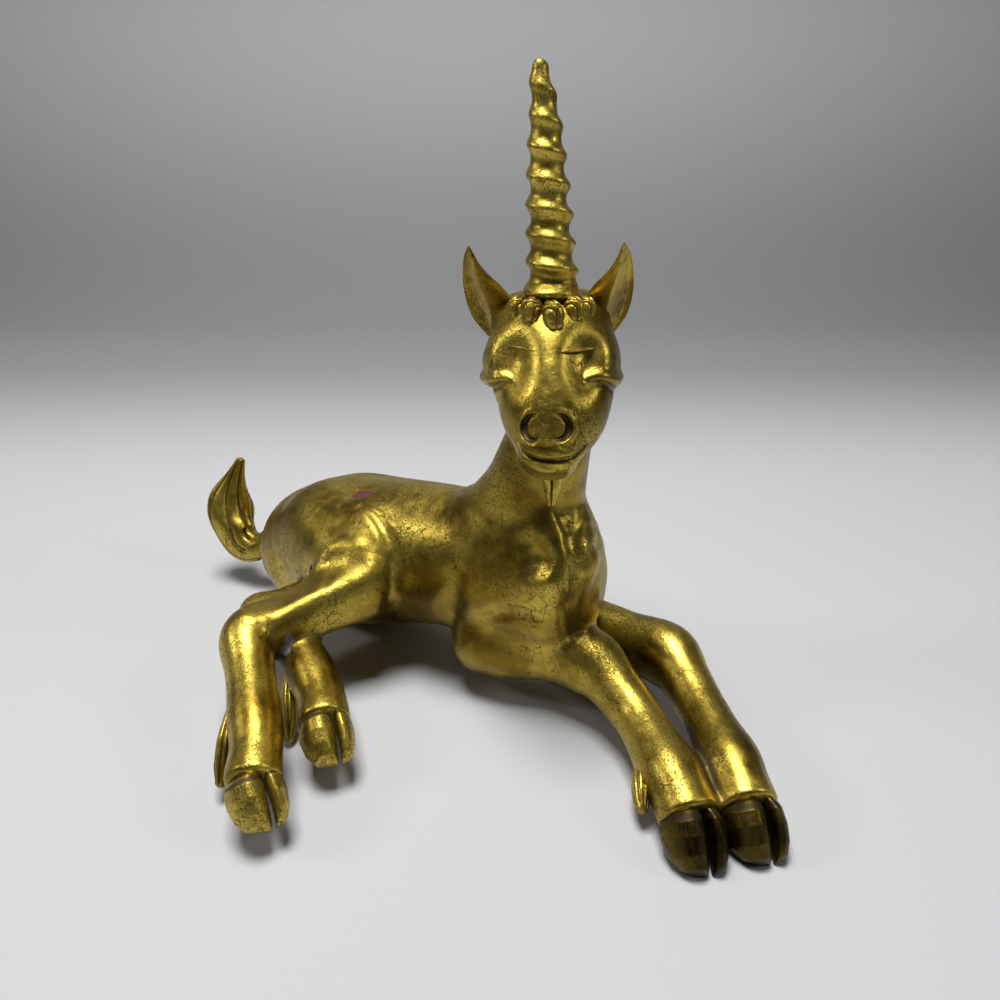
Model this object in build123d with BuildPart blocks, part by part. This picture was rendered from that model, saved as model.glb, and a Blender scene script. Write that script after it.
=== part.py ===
"""Reclining unicorn foal, a gilded figurine luted together from separate castings.

Frame while modelling: +X runs from the rump to the chest, +Y to the animal's left, +Z up,
with the table at zero height and the chest centre over the origin. At the end every piece
is moved so that the origin lies on the table under the middle of the whole figure.
Limbs are chains of bones: each bone has a named length, a heading and a pitch in degrees.
"""
import os

from build123d import *

# Trunk
loin_length = 72.0
rib_length = 53.0
rump_width = 66.0
rump_depth = 66.0
rump_height = 31.5
waist_width = 54.0
waist_depth = 66.0
waist_height = 49.0
chest_width = 57.0
chest_depth = 66.0
chest_height = 54.5
trunk_reach = 28.0

# Neck
neck_length = 92.0
neck_root_width = 46.0
neck_root_depth = 58.0
neck_width = 35.0
neck_depth = 31.0
neck_root_height = 48.0
neck_heading = 8.0
neck_pitch = 81.5

# Head
head_length = 74.0
skull_width = 46.0
skull_depth = 46.0
jaw_width = 39.0
muzzle_width = 22.0
muzzle_depth = 23.0
skull_forward = -11.2
skull_left = 17.7
skull_rise = 22.0
head_heading = -61.0
head_pitch = -38.0
head_roll = 2.4

# Nose and mouth
nostril_width = 5.0
nostril_depth = 1.4
mouth_groove = 1.6

# Eyelids
lid_length = 21.0
lid_width = 15.0
lid_depth = 12.0

# Horn
horn_length = 73.0
horn_base_width = 18.0
horn_tip_width = 3.6
horn_pitch = 9.0
horn_throw = 0.9
horn_pitch_up = 84.0
horn_heading = 166.0

# Ears
ear_length = 34.0
ear_width = 15.0
ear_depth = 9.0
ear_wall = 1.8
ear_spread = 34.0
ear_rise = 8.0

# Forelock and beard
curl_length = 3.6
curl_width = 5.0
beard_length = 9.0
beard_width = 10.0

# Forelegs
forearm_length = 49.0
fore_cannon_length = 58.0
fore_pastern_length = 14.0
fore_hoof_length = 18.0
elbow_width = 34.0
forearm_width = 23.0
knee_width = 26.0
fore_cannon_width = 18.6
fore_fetlock_width = 22.5
fore_coronet_width = 20.0
fore_hoof_width = 21.5
right_elbow_height = 25.0
left_elbow_height = 18.5
right_elbow_forward = -21.5
right_elbow_out = 12.0
left_elbow_forward = 1.5
left_elbow_out = 26.0

# Hind legs
thigh_length = 52.0
gaskin_length = 52.0
hind_cannon_length = 50.0
hind_pastern_length = 15.0
hind_hoof_length = 17.0
haunch_width = 46.0
stifle_width = 33.0
gaskin_width = 22.0
hock_width = 23.5
hind_cannon_width = 20.0
hind_fetlock_width = 20.5
hind_coronet_width = 18.5
hind_hoof_width = 19.5
right_hip_out = 8.0
right_hip_height = 46.0
left_hip_out = 18.0
left_hip_height = 29.0

# Hoof clefts and fetlock tufts
cleft_width = 1.2
fore_tuft_length = 22.0
hind_tuft_length = 32.0
tuft_width = 13.0
tuft_depth = 7.0

# Tail
dock_length = 30.0
dock_width = 11.5
dock_height = 39.0
dock_start = 19.5
dock_left = -2.5
tail_tuft_length = 60.0
tail_tuft_width = 26.0
tail_tuft_depth = 17.0


def bone_direction(heading, pitch):
    """Unit vector at a heading from +X towards +Y and a pitch above the table."""
    level = Vector(1, 0, 0).rotate(Axis.Y, -pitch)
    return level.rotate(Axis.Z, heading)


def chain(start, lengths, headings, pitches):
    """Joints of a limb: each bone runs on from the last joint at its own angles."""
    joints = [start]
    for length, heading, pitch in zip(lengths, headings, pitches):
        joints.append(joints[-1] + bone_direction(heading, pitch) * length)
    return joints


def section_plane(joints, place, up):
    """Plane square to a chain at a place: whole numbers are joints, parts lie between."""
    last = len(joints) - 2
    bone = max(0, min(int(place), last))
    along = place - bone
    start = joints[bone]
    here = (joints[bone + 1] - start).normalized()
    point = start + (joints[bone + 1] - start) * along
    beside = here
    if along < 0.5 and bone > 0:
        beside = (start - joints[bone - 1]).normalized()
    if along > 0.5 and bone < last:
        beside = (joints[bone + 2] - joints[bone + 1]).normalized()
    blend = min(abs(along - 0.5), 0.5)
    direction = (here * (1 - blend) + beside * blend).normalized()
    across = up.cross(direction).normalized()
    return Plane(origin=point, x_dir=across, z_dir=direction)


def sections(joints, rows, up=Vector(0, 0, 1), shift=(0, 0)):
    """Elliptical sections square to a chain, one for each row of place, width and depth."""
    faces = []
    for place, width, depth in rows:
        plane = section_plane(joints, place, up)
        with BuildSketch(plane) as profile:
            with Locations(shift):
                Ellipse(width / 2, depth / 2)
        faces.append(profile.sketch)
    return faces


def cut_by(*pieces):
    """Take the neighbours out of the piece being built, so that the two meet face to face."""
    for piece in pieces:
        add(piece, mode=Mode.SUBTRACT)


def cut_at_table():
    """Cut the piece being built flat where it rests on the table."""
    split(bisect_by=Plane.XY, keep=Keep.TOP)


# Trunk: rump, waist and chest on one gently rising line
rump_centre = Vector(-loin_length - rib_length, 0, rump_height)
waist_centre = Vector(-rib_length, 0, waist_height)
chest_centre = Vector(0, 0, chest_height)
trunk_end = Vector(trunk_reach, 0, chest_height)
trunk_joints = [rump_centre, waist_centre, chest_centre, trunk_end]
trunk_shares = (
    (-0.47, 0.10 * rump_width, 0.10 * rump_depth),
    (-0.45, 0.32 * rump_width, 0.30 * rump_depth),
    (-0.38, 0.60 * rump_width, 0.54 * rump_depth),
    (-0.24, 0.84 * rump_width, 0.80 * rump_depth),
    (0.0, rump_width, rump_depth),
    (0.35, 1.08 * rump_width, 1.12 * rump_depth),
    (0.70, 1.22 * waist_width, 1.04 * waist_depth),
    (1.0, 1.08 * waist_width, waist_depth),
    (1.5, 0.98 * chest_width, 0.95 * chest_depth),
    (2.0, chest_width, chest_depth),
    (2.45, 0.84 * chest_width, 0.92 * chest_depth),
    (2.75, 0.56 * chest_width, 0.66 * chest_depth),
    (2.91, 0.30 * chest_width, 0.36 * chest_depth),
    (2.95, 0.10 * chest_width, 0.12 * chest_depth),
)
with BuildPart() as torso:
    loft(sections(trunk_joints, trunk_shares))
    cut_at_table()
torso.part.label = "torso"

# Head: one axis from the back of the skull, above the neck's top, to the lips
neck_root = Vector(-0.24 * neck_root_depth, 0, neck_root_height)
neck_joints = chain(neck_root, [neck_length], [neck_heading], [neck_pitch])
skull_back = neck_joints[-1] + Vector(skull_forward, skull_left, skull_rise)
head_axis = bone_direction(head_heading, head_pitch)
head_line = Axis((0, 0, 0), head_axis)
head_left = Vector(0, 0, 1).cross(head_axis).normalized().rotate(head_line, head_roll)
head_up = head_axis.cross(head_left)
head_joints = [skull_back, skull_back + head_axis * head_length]
head_shares = (
    (0.0, 0.10 * skull_width, 0.10 * skull_depth),
    (0.02, 0.32 * skull_width, 0.32 * skull_depth),
    (0.05, 0.52 * skull_width, 0.55 * skull_depth),
    (0.17, 0.84 * skull_width, 0.85 * skull_depth),
    (0.34, skull_width, skull_depth),
    (0.48, 0.95 * skull_width, 0.98 * skull_depth),
    (0.62, 1.08 * jaw_width, 0.88 * skull_depth),
    (0.76, 0.86 * jaw_width, 0.5 * (0.9 * skull_depth + muzzle_depth)),
    (0.89, muzzle_width, muzzle_depth),
    (0.96, 0.76 * muzzle_width, 0.78 * muzzle_depth),
    (0.99, 0.42 * muzzle_width, 0.42 * muzzle_depth),
    (1.0, 0.12 * muzzle_width, 0.12 * muzzle_depth),
)


def on_head(along, left, up):
    """Point at a share of the head's length along its axis, and sideways and up from it."""
    return skull_back + head_axis * (head_length * along) + head_left * left + head_up * up


nostril_share, mouth_corner_share, mouth_middle_share = 0.92, 0.87, 0.985
mouth_corners = [
    on_head(mouth_corner_share, side * 0.5 * muzzle_width, -0.06 * muzzle_depth) for side in (-1, 1)
]
mouth_middle = on_head(mouth_middle_share, 0, -0.26 * muzzle_depth)
with BuildPart() as head:
    loft(sections(head_joints, head_shares, head_up))
    for side in (-1, 1):
        outward = (head_left * side + head_up).normalized()
        wall = on_head(nostril_share, side * 0.31 * muzzle_width, 0.31 * muzzle_depth)
        centre = wall + outward * (nostril_width / 2 - nostril_depth)
        with Locations(centre):
            Sphere(nostril_width / 2, mode=Mode.SUBTRACT)
    with BuildLine() as smile:
        ThreePointArc(mouth_corners[0], mouth_middle, mouth_corners[1])
    with BuildSketch(Plane(origin=smile.line @ 0, z_dir=smile.line % 0)):
        Circle(mouth_groove / 2)
    sweep(mode=Mode.SUBTRACT)
head.part.label = "head"

# Neck: from inside the chest up into the skull
neck_shares = (
    (0.0, neck_root_width, neck_root_depth),
    (0.28, 0.92 * neck_root_width, 1.04 * neck_root_depth),
    (0.5, 1.1 * neck_width, 1.26 * neck_depth),
    (0.74, neck_width, neck_depth),
    (1.0, 0.94 * neck_width, 0.9 * neck_depth),
)
with BuildPart() as neck:
    loft(sections(neck_joints, neck_shares, Vector(-1, 0, 0)))
    cut_by(torso.part, head.part)
neck.part.label = "neck"

# Horn: a leaning cone whose round section walks round the axis once each pitch,
# which raises one left-handed ridge from the brow to the tip
horn_root = on_head(0.22, 0.04 * skull_width, 0.40 * skull_depth)
horn_axis = bone_direction(horn_heading, horn_pitch_up)
horn_turn_steps = 6
horn_steps = round(horn_length / horn_pitch * horn_turn_steps)
horn_taper_shares = ((0.0, 1.0), (0.2, 0.88), (0.45, 0.76), (0.7, 0.62), (1.0, 0.2))


def horn_share(rise):
    """Width of the horn at a share of its length, as a share of its base width."""
    for (low, wide), (high, narrow) in zip(horn_taper_shares, horn_taper_shares[1:]):
        if rise <= high:
            return wide + (narrow - wide) * (rise - low) / (high - low)
    return horn_tip_width / horn_base_width


horn_plane = Plane(origin=horn_root, x_dir=head_left, z_dir=horn_axis)
horn_sections = []
for step in range(horn_steps + 1):
    rise = step / horn_steps
    turn = -360 * step / horn_turn_steps
    throw = horn_throw * horn_share(rise)
    with BuildSketch(horn_plane.offset(horn_length * rise)) as ring:
        with PolarLocations(throw, 1, start_angle=turn, rotate=False):
            Circle(horn_base_width * horn_share(rise) / 2)
    horn_sections.append(ring.sketch)
with BuildPart() as horn:
    loft(horn_sections)
    cut_by(head.part)
horn.part.label = "horn"

# Ears: each a leaf that stands out beside the horn, cupped on its outer side
ear_shares = (
    (0.0, 0.34, 0.40, 0.57),
    (0.2, 0.78, 0.86, 0.61),
    (0.42, 0.96, 1.0, 0.64),
    (0.65, 0.80, 0.80, 0.70),
    (0.84, 0.42, 0.46, 0.76),
    (1.0, 0.10, 0.12, 0.76),
)
ears = {}
for name, side in (("right_ear", -1), ("left_ear", 1)):
    ear_joints = []
    ear_rows = []
    for row, (place, width, depth, spread) in enumerate(ear_shares):
        rise = ear_rise + ear_length * place
        ear_joints.append(on_head(0.20, side * ear_spread * spread, rise))
        ear_rows.append((row, ear_width * width, ear_depth * depth))
    cup_rows = [(row, width - 2 * ear_wall, depth) for row, width, depth in ear_rows[1:5]]
    cup_shift = (-side * 2 * ear_wall, 1.5 * ear_wall)
    with BuildPart() as ear:
        loft(sections(ear_joints, ear_rows, head_axis))
        cut_by(head.part)
        loft(sections(ear_joints, cup_rows, head_axis, cup_shift), mode=Mode.SUBTRACT)
    ear.part.label = name
    ears[name] = ear.part

# Eyelids: two closed domes that droop to a flared outer corner
lid_shares = (
    (0.0, 0.16, 0.16),
    (0.3, 0.62, 0.60),
    (1.0, 1.0, 1.0),
    (1.5, 0.86, 0.80),
    (2.0, 0.46, 0.40),
    (2.6, 0.20, 0.18),
)
lids = {}
for name, side in (("right_eyelid", -1), ("left_eyelid", 1)):
    brow = 0.325 * skull_width
    lid_joints = [
        on_head(0.36, side * (brow - 0.2 * lid_length), 0.12 * skull_depth),
        on_head(0.41, side * (brow + 0.16 * lid_length), 0.03 * skull_depth),
        on_head(0.43, side * (brow + 0.44 * lid_length), -0.07 * skull_depth),
        on_head(0.44, side * (brow + 0.62 * lid_length), -0.12 * skull_depth),
    ]
    lid_rows = [(place, wide * lid_width, deep * lid_depth) for place, wide, deep in lid_shares]
    with BuildPart() as lid:
        loft(sections(lid_joints, lid_rows, head_up))
        cut_by(head.part)
    lid.part.label = name
    lids[name] = lid.part

# Forelock: five locks that curl over the brow round the front of the horn
curl_turns = (-82, -40, 0, 40, 82)
curl_shares = ((0.0, 0.8, 0.8), (1.0, 1.0, 1.0), (2.0, 0.9, 0.9), (3.0, 0.4, 0.4))
curl_pitches = (20, -35, -95)
curls = []
for turn in curl_turns:
    out = bone_direction(head_heading + turn, 0)
    root = on_head(0.26, 0.04 * skull_width, 0.40 * skull_depth) + out * (0.5 * horn_base_width - 0.1 * curl_width)
    curl_joints = chain(root, [curl_length] * 3, [head_heading + turn] * 3, curl_pitches)
    curl_rows = [(place, wide * curl_width, deep * curl_width) for place, wide, deep in curl_shares]
    with BuildPart() as curl:
        loft(sections(curl_joints, curl_rows), ruled=True)
        cut_by(head.part, horn.part)
    curls.append(curl.part)
with BuildPart() as forelock:
    add(curls)
forelock.part.label = "forelock"

# Beard: one pointed tuft under the chin
beard_joints = chain(
    on_head(0.86, 0, -0.36 * muzzle_depth), [beard_length] * 2, [head_heading] * 2, (-70, -88)
)
beard_shares = (
    (0.0, 0.9 * beard_width, 0.7 * beard_width),
    (0.8, beard_width, 0.8 * beard_width),
    (1.5, 0.6 * beard_width, 0.5 * beard_width),
    (2.0, 0.12 * beard_width, 0.12 * beard_width),
)
with BuildPart() as beard:
    loft(sections(beard_joints, beard_shares))
    cut_by(head.part)
beard.part.label = "beard"

# Forelegs: stretched forward, bent at the knee, with the toes on the table
foreleg_bones = [
    forearm_length,
    fore_cannon_length / 2,
    fore_cannon_length / 2,
    fore_pastern_length,
    fore_hoof_length,
]
foreleg_shares = (
    (-0.25, 0.30 * elbow_width, 0.34 * elbow_width),
    (-0.18, 0.62 * elbow_width, 0.70 * elbow_width),
    (0.0, 0.92 * elbow_width, 1.04 * elbow_width),
    (0.3, 0.90 * elbow_width, elbow_width),
    (0.62, forearm_width, 1.12 * forearm_width),
    (1.0, knee_width, 1.1 * knee_width),
    (1.4, 1.08 * fore_cannon_width, 1.18 * fore_cannon_width),
    (2.0, fore_cannon_width, 1.08 * fore_cannon_width),
    (2.5, 1.04 * fore_cannon_width, 1.1 * fore_cannon_width),
    (3.0, fore_fetlock_width, 1.02 * fore_fetlock_width),
    (3.5, 0.95 * fore_fetlock_width, fore_fetlock_width),
    (4.0, fore_coronet_width, fore_coronet_width),
)
hoof_shares = (
    (4.0, 1.0, 1.0),
    (4.3, 1.02, 0.96),
    (4.65, 0.98, 0.74),
    (4.88, 0.76, 0.44),
    (5.0, 0.36, 0.2),
)

right_foreleg_joints = chain(
    Vector(right_elbow_forward, -right_elbow_out, right_elbow_height),
    foreleg_bones,
    (8, -25, -42, -45, -50),
    (1, -17, -6, -12, -38),
)
left_foreleg_joints = chain(
    Vector(left_elbow_forward, left_elbow_out, left_elbow_height),
    foreleg_bones,
    (-6, -44, -48, -51, -48),
    (4, -9, -6, -12, -38),
)

# Hind legs: both folded out to the animal's right, the left one passing under the hock
hindleg_bones = [
    thigh_length,
    gaskin_length,
    hind_cannon_length,
    hind_pastern_length,
    hind_hoof_length,
]
thigh_shares = (
    (-0.30, 0.40 * haunch_width, 0.5 * haunch_width),
    (-0.18, 0.72 * haunch_width, 0.84 * haunch_width),
    (0.1, 0.94 * haunch_width, 1.1 * haunch_width),
    (0.5, 0.84 * haunch_width, 1.04 * haunch_width),
    (0.85, stifle_width, 1.2 * stifle_width),
    (1.0, 0.74 * stifle_width, 0.9 * stifle_width),
    (1.09, 0.3 * stifle_width, 0.4 * stifle_width),
)
hindleg_shares = (
    (-0.20, 0.3 * stifle_width, 0.3 * stifle_width),
    (-0.13, 0.62 * stifle_width, 0.66 * stifle_width),
    (0.05, 0.86 * stifle_width, 1.02 * stifle_width),
    (0.4, 1.06 * gaskin_width, 1.2 * gaskin_width),
    (0.7, gaskin_width, 1.06 * gaskin_width),
    (1.0, hock_width, 1.12 * hock_width),
    (1.32, hind_cannon_width, 1.1 * hind_cannon_width),
    (1.65, hind_cannon_width, 1.06 * hind_cannon_width),
    (2.0, hind_fetlock_width, 1.04 * hind_fetlock_width),
    (2.5, 0.94 * hind_fetlock_width, 0.98 * hind_fetlock_width),
    (3.0, hind_coronet_width, hind_coronet_width),
)
right_hindleg_joints = chain(
    Vector(-loin_length - 0.84 * rib_length, -right_hip_out, right_hip_height),
    hindleg_bones,
    (-29, -114, -36, -48, -28),
    (-2.5, -9, -15, -11, -37),
)
left_hindleg_joints = chain(
    Vector(-loin_length - 1.24 * rib_length, left_hip_out, left_hip_height),
    hindleg_bones,
    (-23, -101, -26, -42, -37),
    (0, -2, -7, -8, -22),
)


with BuildPart() as right_foreleg:
    loft(sections(right_foreleg_joints, foreleg_shares))
    cut_at_table()
    cut_by(torso.part)
right_foreleg.part.label = "right_foreleg"

with BuildPart() as left_foreleg:
    loft(sections(left_foreleg_joints, foreleg_shares))
    cut_at_table()
    cut_by(torso.part, right_foreleg.part)
left_foreleg.part.label = "left_foreleg"

with BuildPart() as right_thigh:
    loft(sections(right_hindleg_joints, thigh_shares))
    cut_by(torso.part)
right_thigh.part.label = "right_thigh"

with BuildPart() as right_hindleg:
    loft(sections(right_hindleg_joints[1:], hindleg_shares))
    cut_by(torso.part, right_thigh.part)
right_hindleg.part.label = "right_hindleg"

with BuildPart() as left_thigh:
    loft(sections(left_hindleg_joints, thigh_shares))
    cut_at_table()
    cut_by(torso.part, right_thigh.part)
left_thigh.part.label = "left_thigh"

with BuildPart() as left_hindleg:
    loft(sections(left_hindleg_joints[1:], hindleg_shares))
    cut_at_table()
    cut_by(torso.part, right_thigh.part, left_thigh.part, right_hindleg.part)
left_hindleg.part.label = "left_hindleg"

# Hooves: each a pair of claws parted by a cleft, standing on the toes
hoof_middle_place = 4.5
hooves = {}
for name, joints, coronet, width in (
    ("right_fore_hoof", right_foreleg_joints, fore_coronet_width, fore_hoof_width),
    ("left_fore_hoof", left_foreleg_joints, fore_coronet_width, fore_hoof_width),
    ("right_hind_hoof", right_hindleg_joints, hind_coronet_width, hind_hoof_width),
    ("left_hind_hoof", left_hindleg_joints, hind_coronet_width, hind_hoof_width),
):
    rows = [(place, wide * width, deep * width) for place, wide, deep in hoof_shares]
    rows[0] = (4.0, coronet, coronet)
    middle = section_plane(joints, hoof_middle_place, Vector(0, 0, 1))
    cleft = Plane(
        middle.origin + middle.x_dir * (0.16 * width), x_dir=middle.z_dir, z_dir=middle.x_dir
    )
    with BuildPart() as hoof:
        loft(sections(joints, rows))
        cut_at_table()
        cut_by(*hooves.values())
        with BuildSketch(cleft):
            Rectangle(2 * fore_hoof_length, 2 * width)
        extrude(amount=cleft_width / 2, both=True, mode=Mode.SUBTRACT)
    hoof.part.label = name
    hooves[name] = hoof.part

# Fetlock tufts: a lock of hair behind each fetlock that hangs down to the table
tuft_shares = (
    (0.0, 0.16, 0.2),
    (0.35, 0.7, 0.8),
    (1.0, 1.0, 1.0),
    (1.6, 0.9, 0.8),
    (2.0, 0.3, 0.3),
)
fore_tuft = (fore_fetlock_width, fore_tuft_length, -8)
hind_tuft = (hind_fetlock_width, hind_tuft_length, -36)
tuft_root_place = 2.5
tuft_turns_in = (24, 20)
legs = (right_foreleg.part, left_foreleg.part, right_hindleg.part, left_hindleg.part)
tufts = {}
for name, joints, (girth, length, drop) in (
    ("right_fore_tuft", right_foreleg_joints, fore_tuft),
    ("left_fore_tuft", left_foreleg_joints, fore_tuft),
    ("right_hind_tuft", right_hindleg_joints, hind_tuft),
    ("left_hind_tuft", left_hindleg_joints, hind_tuft),
):
    top = section_plane(joints, tuft_root_place, Vector(0, 0, 1))
    root = top.origin - top.x_dir * (0.24 * girth) - Vector(0, 0, 0.16 * girth)
    heading = top.z_dir.get_signed_angle(Vector(1, 0, 0), Vector(0, 0, -1))
    tuft_headings = [heading - turn for turn in tuft_turns_in]
    tuft_joints = chain(root, [length / 2] * 2, tuft_headings, (drop, drop))
    tuft_rows = [(place, wide * tuft_depth, deep * tuft_width) for place, wide, deep in tuft_shares]
    with BuildPart() as tuft:
        loft(sections(tuft_joints, tuft_rows), ruled=True)
        cut_at_table()
        cut_by(*legs)
    tuft.part.label = name
    tufts[name] = tuft.part

# Tail: the dock leaves the rump and sinks, and the tuft sweeps up to a point
tail_side = bone_direction(head_heading, 0)
tail_joints = chain(
    Vector(-loin_length - rib_length - dock_start, dock_left, dock_height),
    [dock_length / 3] * 3 + [tail_tuft_length / 5] * 5,
    (196, 204, 200, 183, 172, 129, 58, 58),
    (-22, -48, -39, 5, 57, 76, 69, 67),
)
dock_shares = (
    (0.0, dock_width, dock_width),
    (1.0, 0.94 * dock_width, 0.94 * dock_width),
    (2.0, dock_width, dock_width),
    (3.0, 1.3 * dock_width, 1.15 * dock_width),
)
tail_tuft_shares = (
    (3.0, 1.3 * dock_width, 1.15 * dock_width),
    (4.0, 0.86 * tail_tuft_width, tail_tuft_depth),
    (5.0, tail_tuft_width, tail_tuft_depth),
    (6.0, 0.82 * tail_tuft_width, 0.84 * tail_tuft_depth),
    (7.0, 0.44 * tail_tuft_width, 0.54 * tail_tuft_depth),
    (8.0, 0.06 * tail_tuft_width, 0.1 * tail_tuft_depth),
)
with BuildPart() as tail_dock:
    loft(sections(tail_joints, dock_shares, tail_side))
    cut_by(torso.part)
tail_dock.part.label = "tail_dock"

with BuildPart() as tail_tuft:
    loft(sections(tail_joints, tail_tuft_shares, tail_side))
tail_tuft.part.label = "tail_tuft"

# Move everything so that the origin lies on the table under the middle of the figure
pieces = [
    torso.part,
    neck.part,
    head.part,
    horn.part,
    *ears.values(),
    *lids.values(),
    forelock.part,
    beard.part,
    right_foreleg.part,
    left_foreleg.part,
    right_thigh.part,
    left_thigh.part,
    right_hindleg.part,
    left_hindleg.part,
    *hooves.values(),
    *tufts.values(),
    tail_dock.part,
    tail_tuft.part,
]
corners = [corner for piece in pieces for corner in piece.tessellate(curl_width / 10)[0]]
middle_x = (min(corner.X for corner in corners) + max(corner.X for corner in corners)) / 2
middle_y = (min(corner.Y for corner in corners) + max(corner.Y for corner in corners)) / 2
os.makedirs("parts", exist_ok=True)
for piece in pieces:
    placed = piece.moved(Location((-middle_x, -middle_y, 0)))
    placed.label = piece.label
    export_step(placed, f"parts/{piece.label}.step")
    print(placed.label, len(placed.solids()), round(placed.volume))
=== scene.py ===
"""Gilded unicorn foal: the modelled and gilded surfaces of a reclining ceramic figure.

The body is worked like clay. Each limb is a tube carried along a bent path, the tubes are
joined with soft seams, and folds, muscles and features are pressed in or laid on. The skin
is then parted into the separate castings. The horn, ears, curls, beard, hooves, tufts and
tail are surfaces of two parameters. Lengths are in metres in the figure's own frame, with
+X from the rump to the chest, +Y to the animal's left and the table at zero height.
"""

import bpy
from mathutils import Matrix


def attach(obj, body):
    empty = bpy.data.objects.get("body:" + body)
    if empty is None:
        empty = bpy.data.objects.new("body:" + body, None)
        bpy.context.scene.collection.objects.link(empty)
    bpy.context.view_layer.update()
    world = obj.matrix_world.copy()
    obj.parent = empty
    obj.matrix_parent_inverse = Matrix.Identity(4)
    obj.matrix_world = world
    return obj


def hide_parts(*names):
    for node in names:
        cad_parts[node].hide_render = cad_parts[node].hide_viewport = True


bl_info = {
    "name": "Gilded Unicorn Foal",
    "version": (1, 0, 0),
    "blender": (4, 5, 0),
    "location": "3D View > Sidebar > Foal",
    "description": "Models and gilds a reclining unicorn foal figurine",
    "category": "Add Mesh",
}

from functools import partial

import bmesh
import bpy
import numpy as np
import openvdb
from bpy.props import FloatProperty, FloatVectorProperty, PointerProperty
from mathutils import Vector

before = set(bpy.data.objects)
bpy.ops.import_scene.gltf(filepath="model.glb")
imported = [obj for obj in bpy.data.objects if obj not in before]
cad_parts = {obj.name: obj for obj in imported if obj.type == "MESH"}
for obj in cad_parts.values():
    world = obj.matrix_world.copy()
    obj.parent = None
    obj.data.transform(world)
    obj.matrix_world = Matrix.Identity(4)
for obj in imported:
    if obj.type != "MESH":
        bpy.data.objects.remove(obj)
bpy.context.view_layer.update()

MM = 0.001
BODY = "root"
FAR = 1.0  # distance where no limb is near
BODY_PITCH = 0.75 * MM
HEAD_PITCH = 0.42 * MM
REACH = 10 * MM  # how far round a limb its distance is worked out
JOIN = 0.7 * MM  # how far a stretch of tube reaches past its ends
LID_SINK = 8 * MM  # how far the middle of a closing fan lies under its rim
FADE_FROM = 4.0 * MM  # beyond this a limb's distance grows faster
FADE_OVER = 1.6 * MM
TINY = 1e-6


def length(name, description, metres):
    """Property that holds a length."""
    return FloatProperty(name=name, description=description, default=metres, unit="LENGTH")


def tone(name, description, colour):
    """Property that holds a colour."""
    return FloatVectorProperty(name=name, description=description, default=colour, subtype="COLOR")


class FoalSizes(bpy.types.PropertyGroup):
    """Bone lengths and girths of the foal."""

    loin_length: length("Loin", "Rump to waist", 0.072)
    rib_length: length("Ribs", "Waist to chest", 0.053)
    rump_width: length("Rump width", "Across the rump", 0.066)
    rump_depth: length("Rump depth", "Height of the rump", 0.066)
    rump_height: length("Rump height", "Rump's middle", 0.0315)
    waist_width: length("Waist width", "Across the waist", 0.054)
    waist_depth: length("Waist depth", "Height of the waist", 0.066)
    waist_height: length("Waist height", "Waist's middle", 0.049)
    chest_width: length("Chest width", "Across the chest", 0.057)
    chest_depth: length("Chest depth", "Height of the chest", 0.066)
    chest_height: length("Chest height", "Chest's middle", 0.0545)
    neck_length: length("Neck", "Chest to skull", 0.092)
    neck_width: length("Neck width", "Throat across", 0.035)
    neck_depth: length("Neck depth", "Throat to crest", 0.031)


UPWARD = np.array((0.0, 0.0, 1.0))


def mm(*rows):
    """Rows of millimetres as an array in metres."""
    return np.array(rows, float) * MM


def unit(vector):
    """Vector or rows of vectors scaled to length one."""
    return vector / np.linalg.norm(vector, axis=-1, keepdims=True)


def bearing(heading, pitch):
    """Unit vector at a heading from +X towards +Y and a pitch above the table, in degrees."""
    turn, rise = np.radians(heading), np.radians(pitch)
    return np.array((np.cos(turn) * np.cos(rise), np.sin(turn) * np.cos(rise), np.sin(rise)))


def chain(start, lengths, headings, pitches):
    """Joints of a limb: each bone runs on from the last joint at its own angles."""
    bones = [length * bearing(turn, rise) for length, turn, rise in zip(lengths, headings, pitches)]
    return np.vstack([start, start + np.cumsum(bones, axis=0)])


def soften(rows, spread):
    """Rows averaged with their neighbours under a bell curve, its ends held by mirroring."""
    reach = int(np.ceil(3 * spread))
    if reach < 1:
        return rows
    bell = np.exp(-0.5 * (np.arange(-reach, reach + 1) / spread) ** 2)
    bell /= bell.sum()
    first = 2 * rows[0] - rows[1 : reach + 1][::-1]
    last = 2 * rows[-1] - rows[-reach - 1 : -1][::-1]
    padded = np.concatenate([first, rows, last])
    columns = [np.convolve(column, bell, mode="valid") for column in padded.T]
    return np.stack(columns, axis=1)


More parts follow.
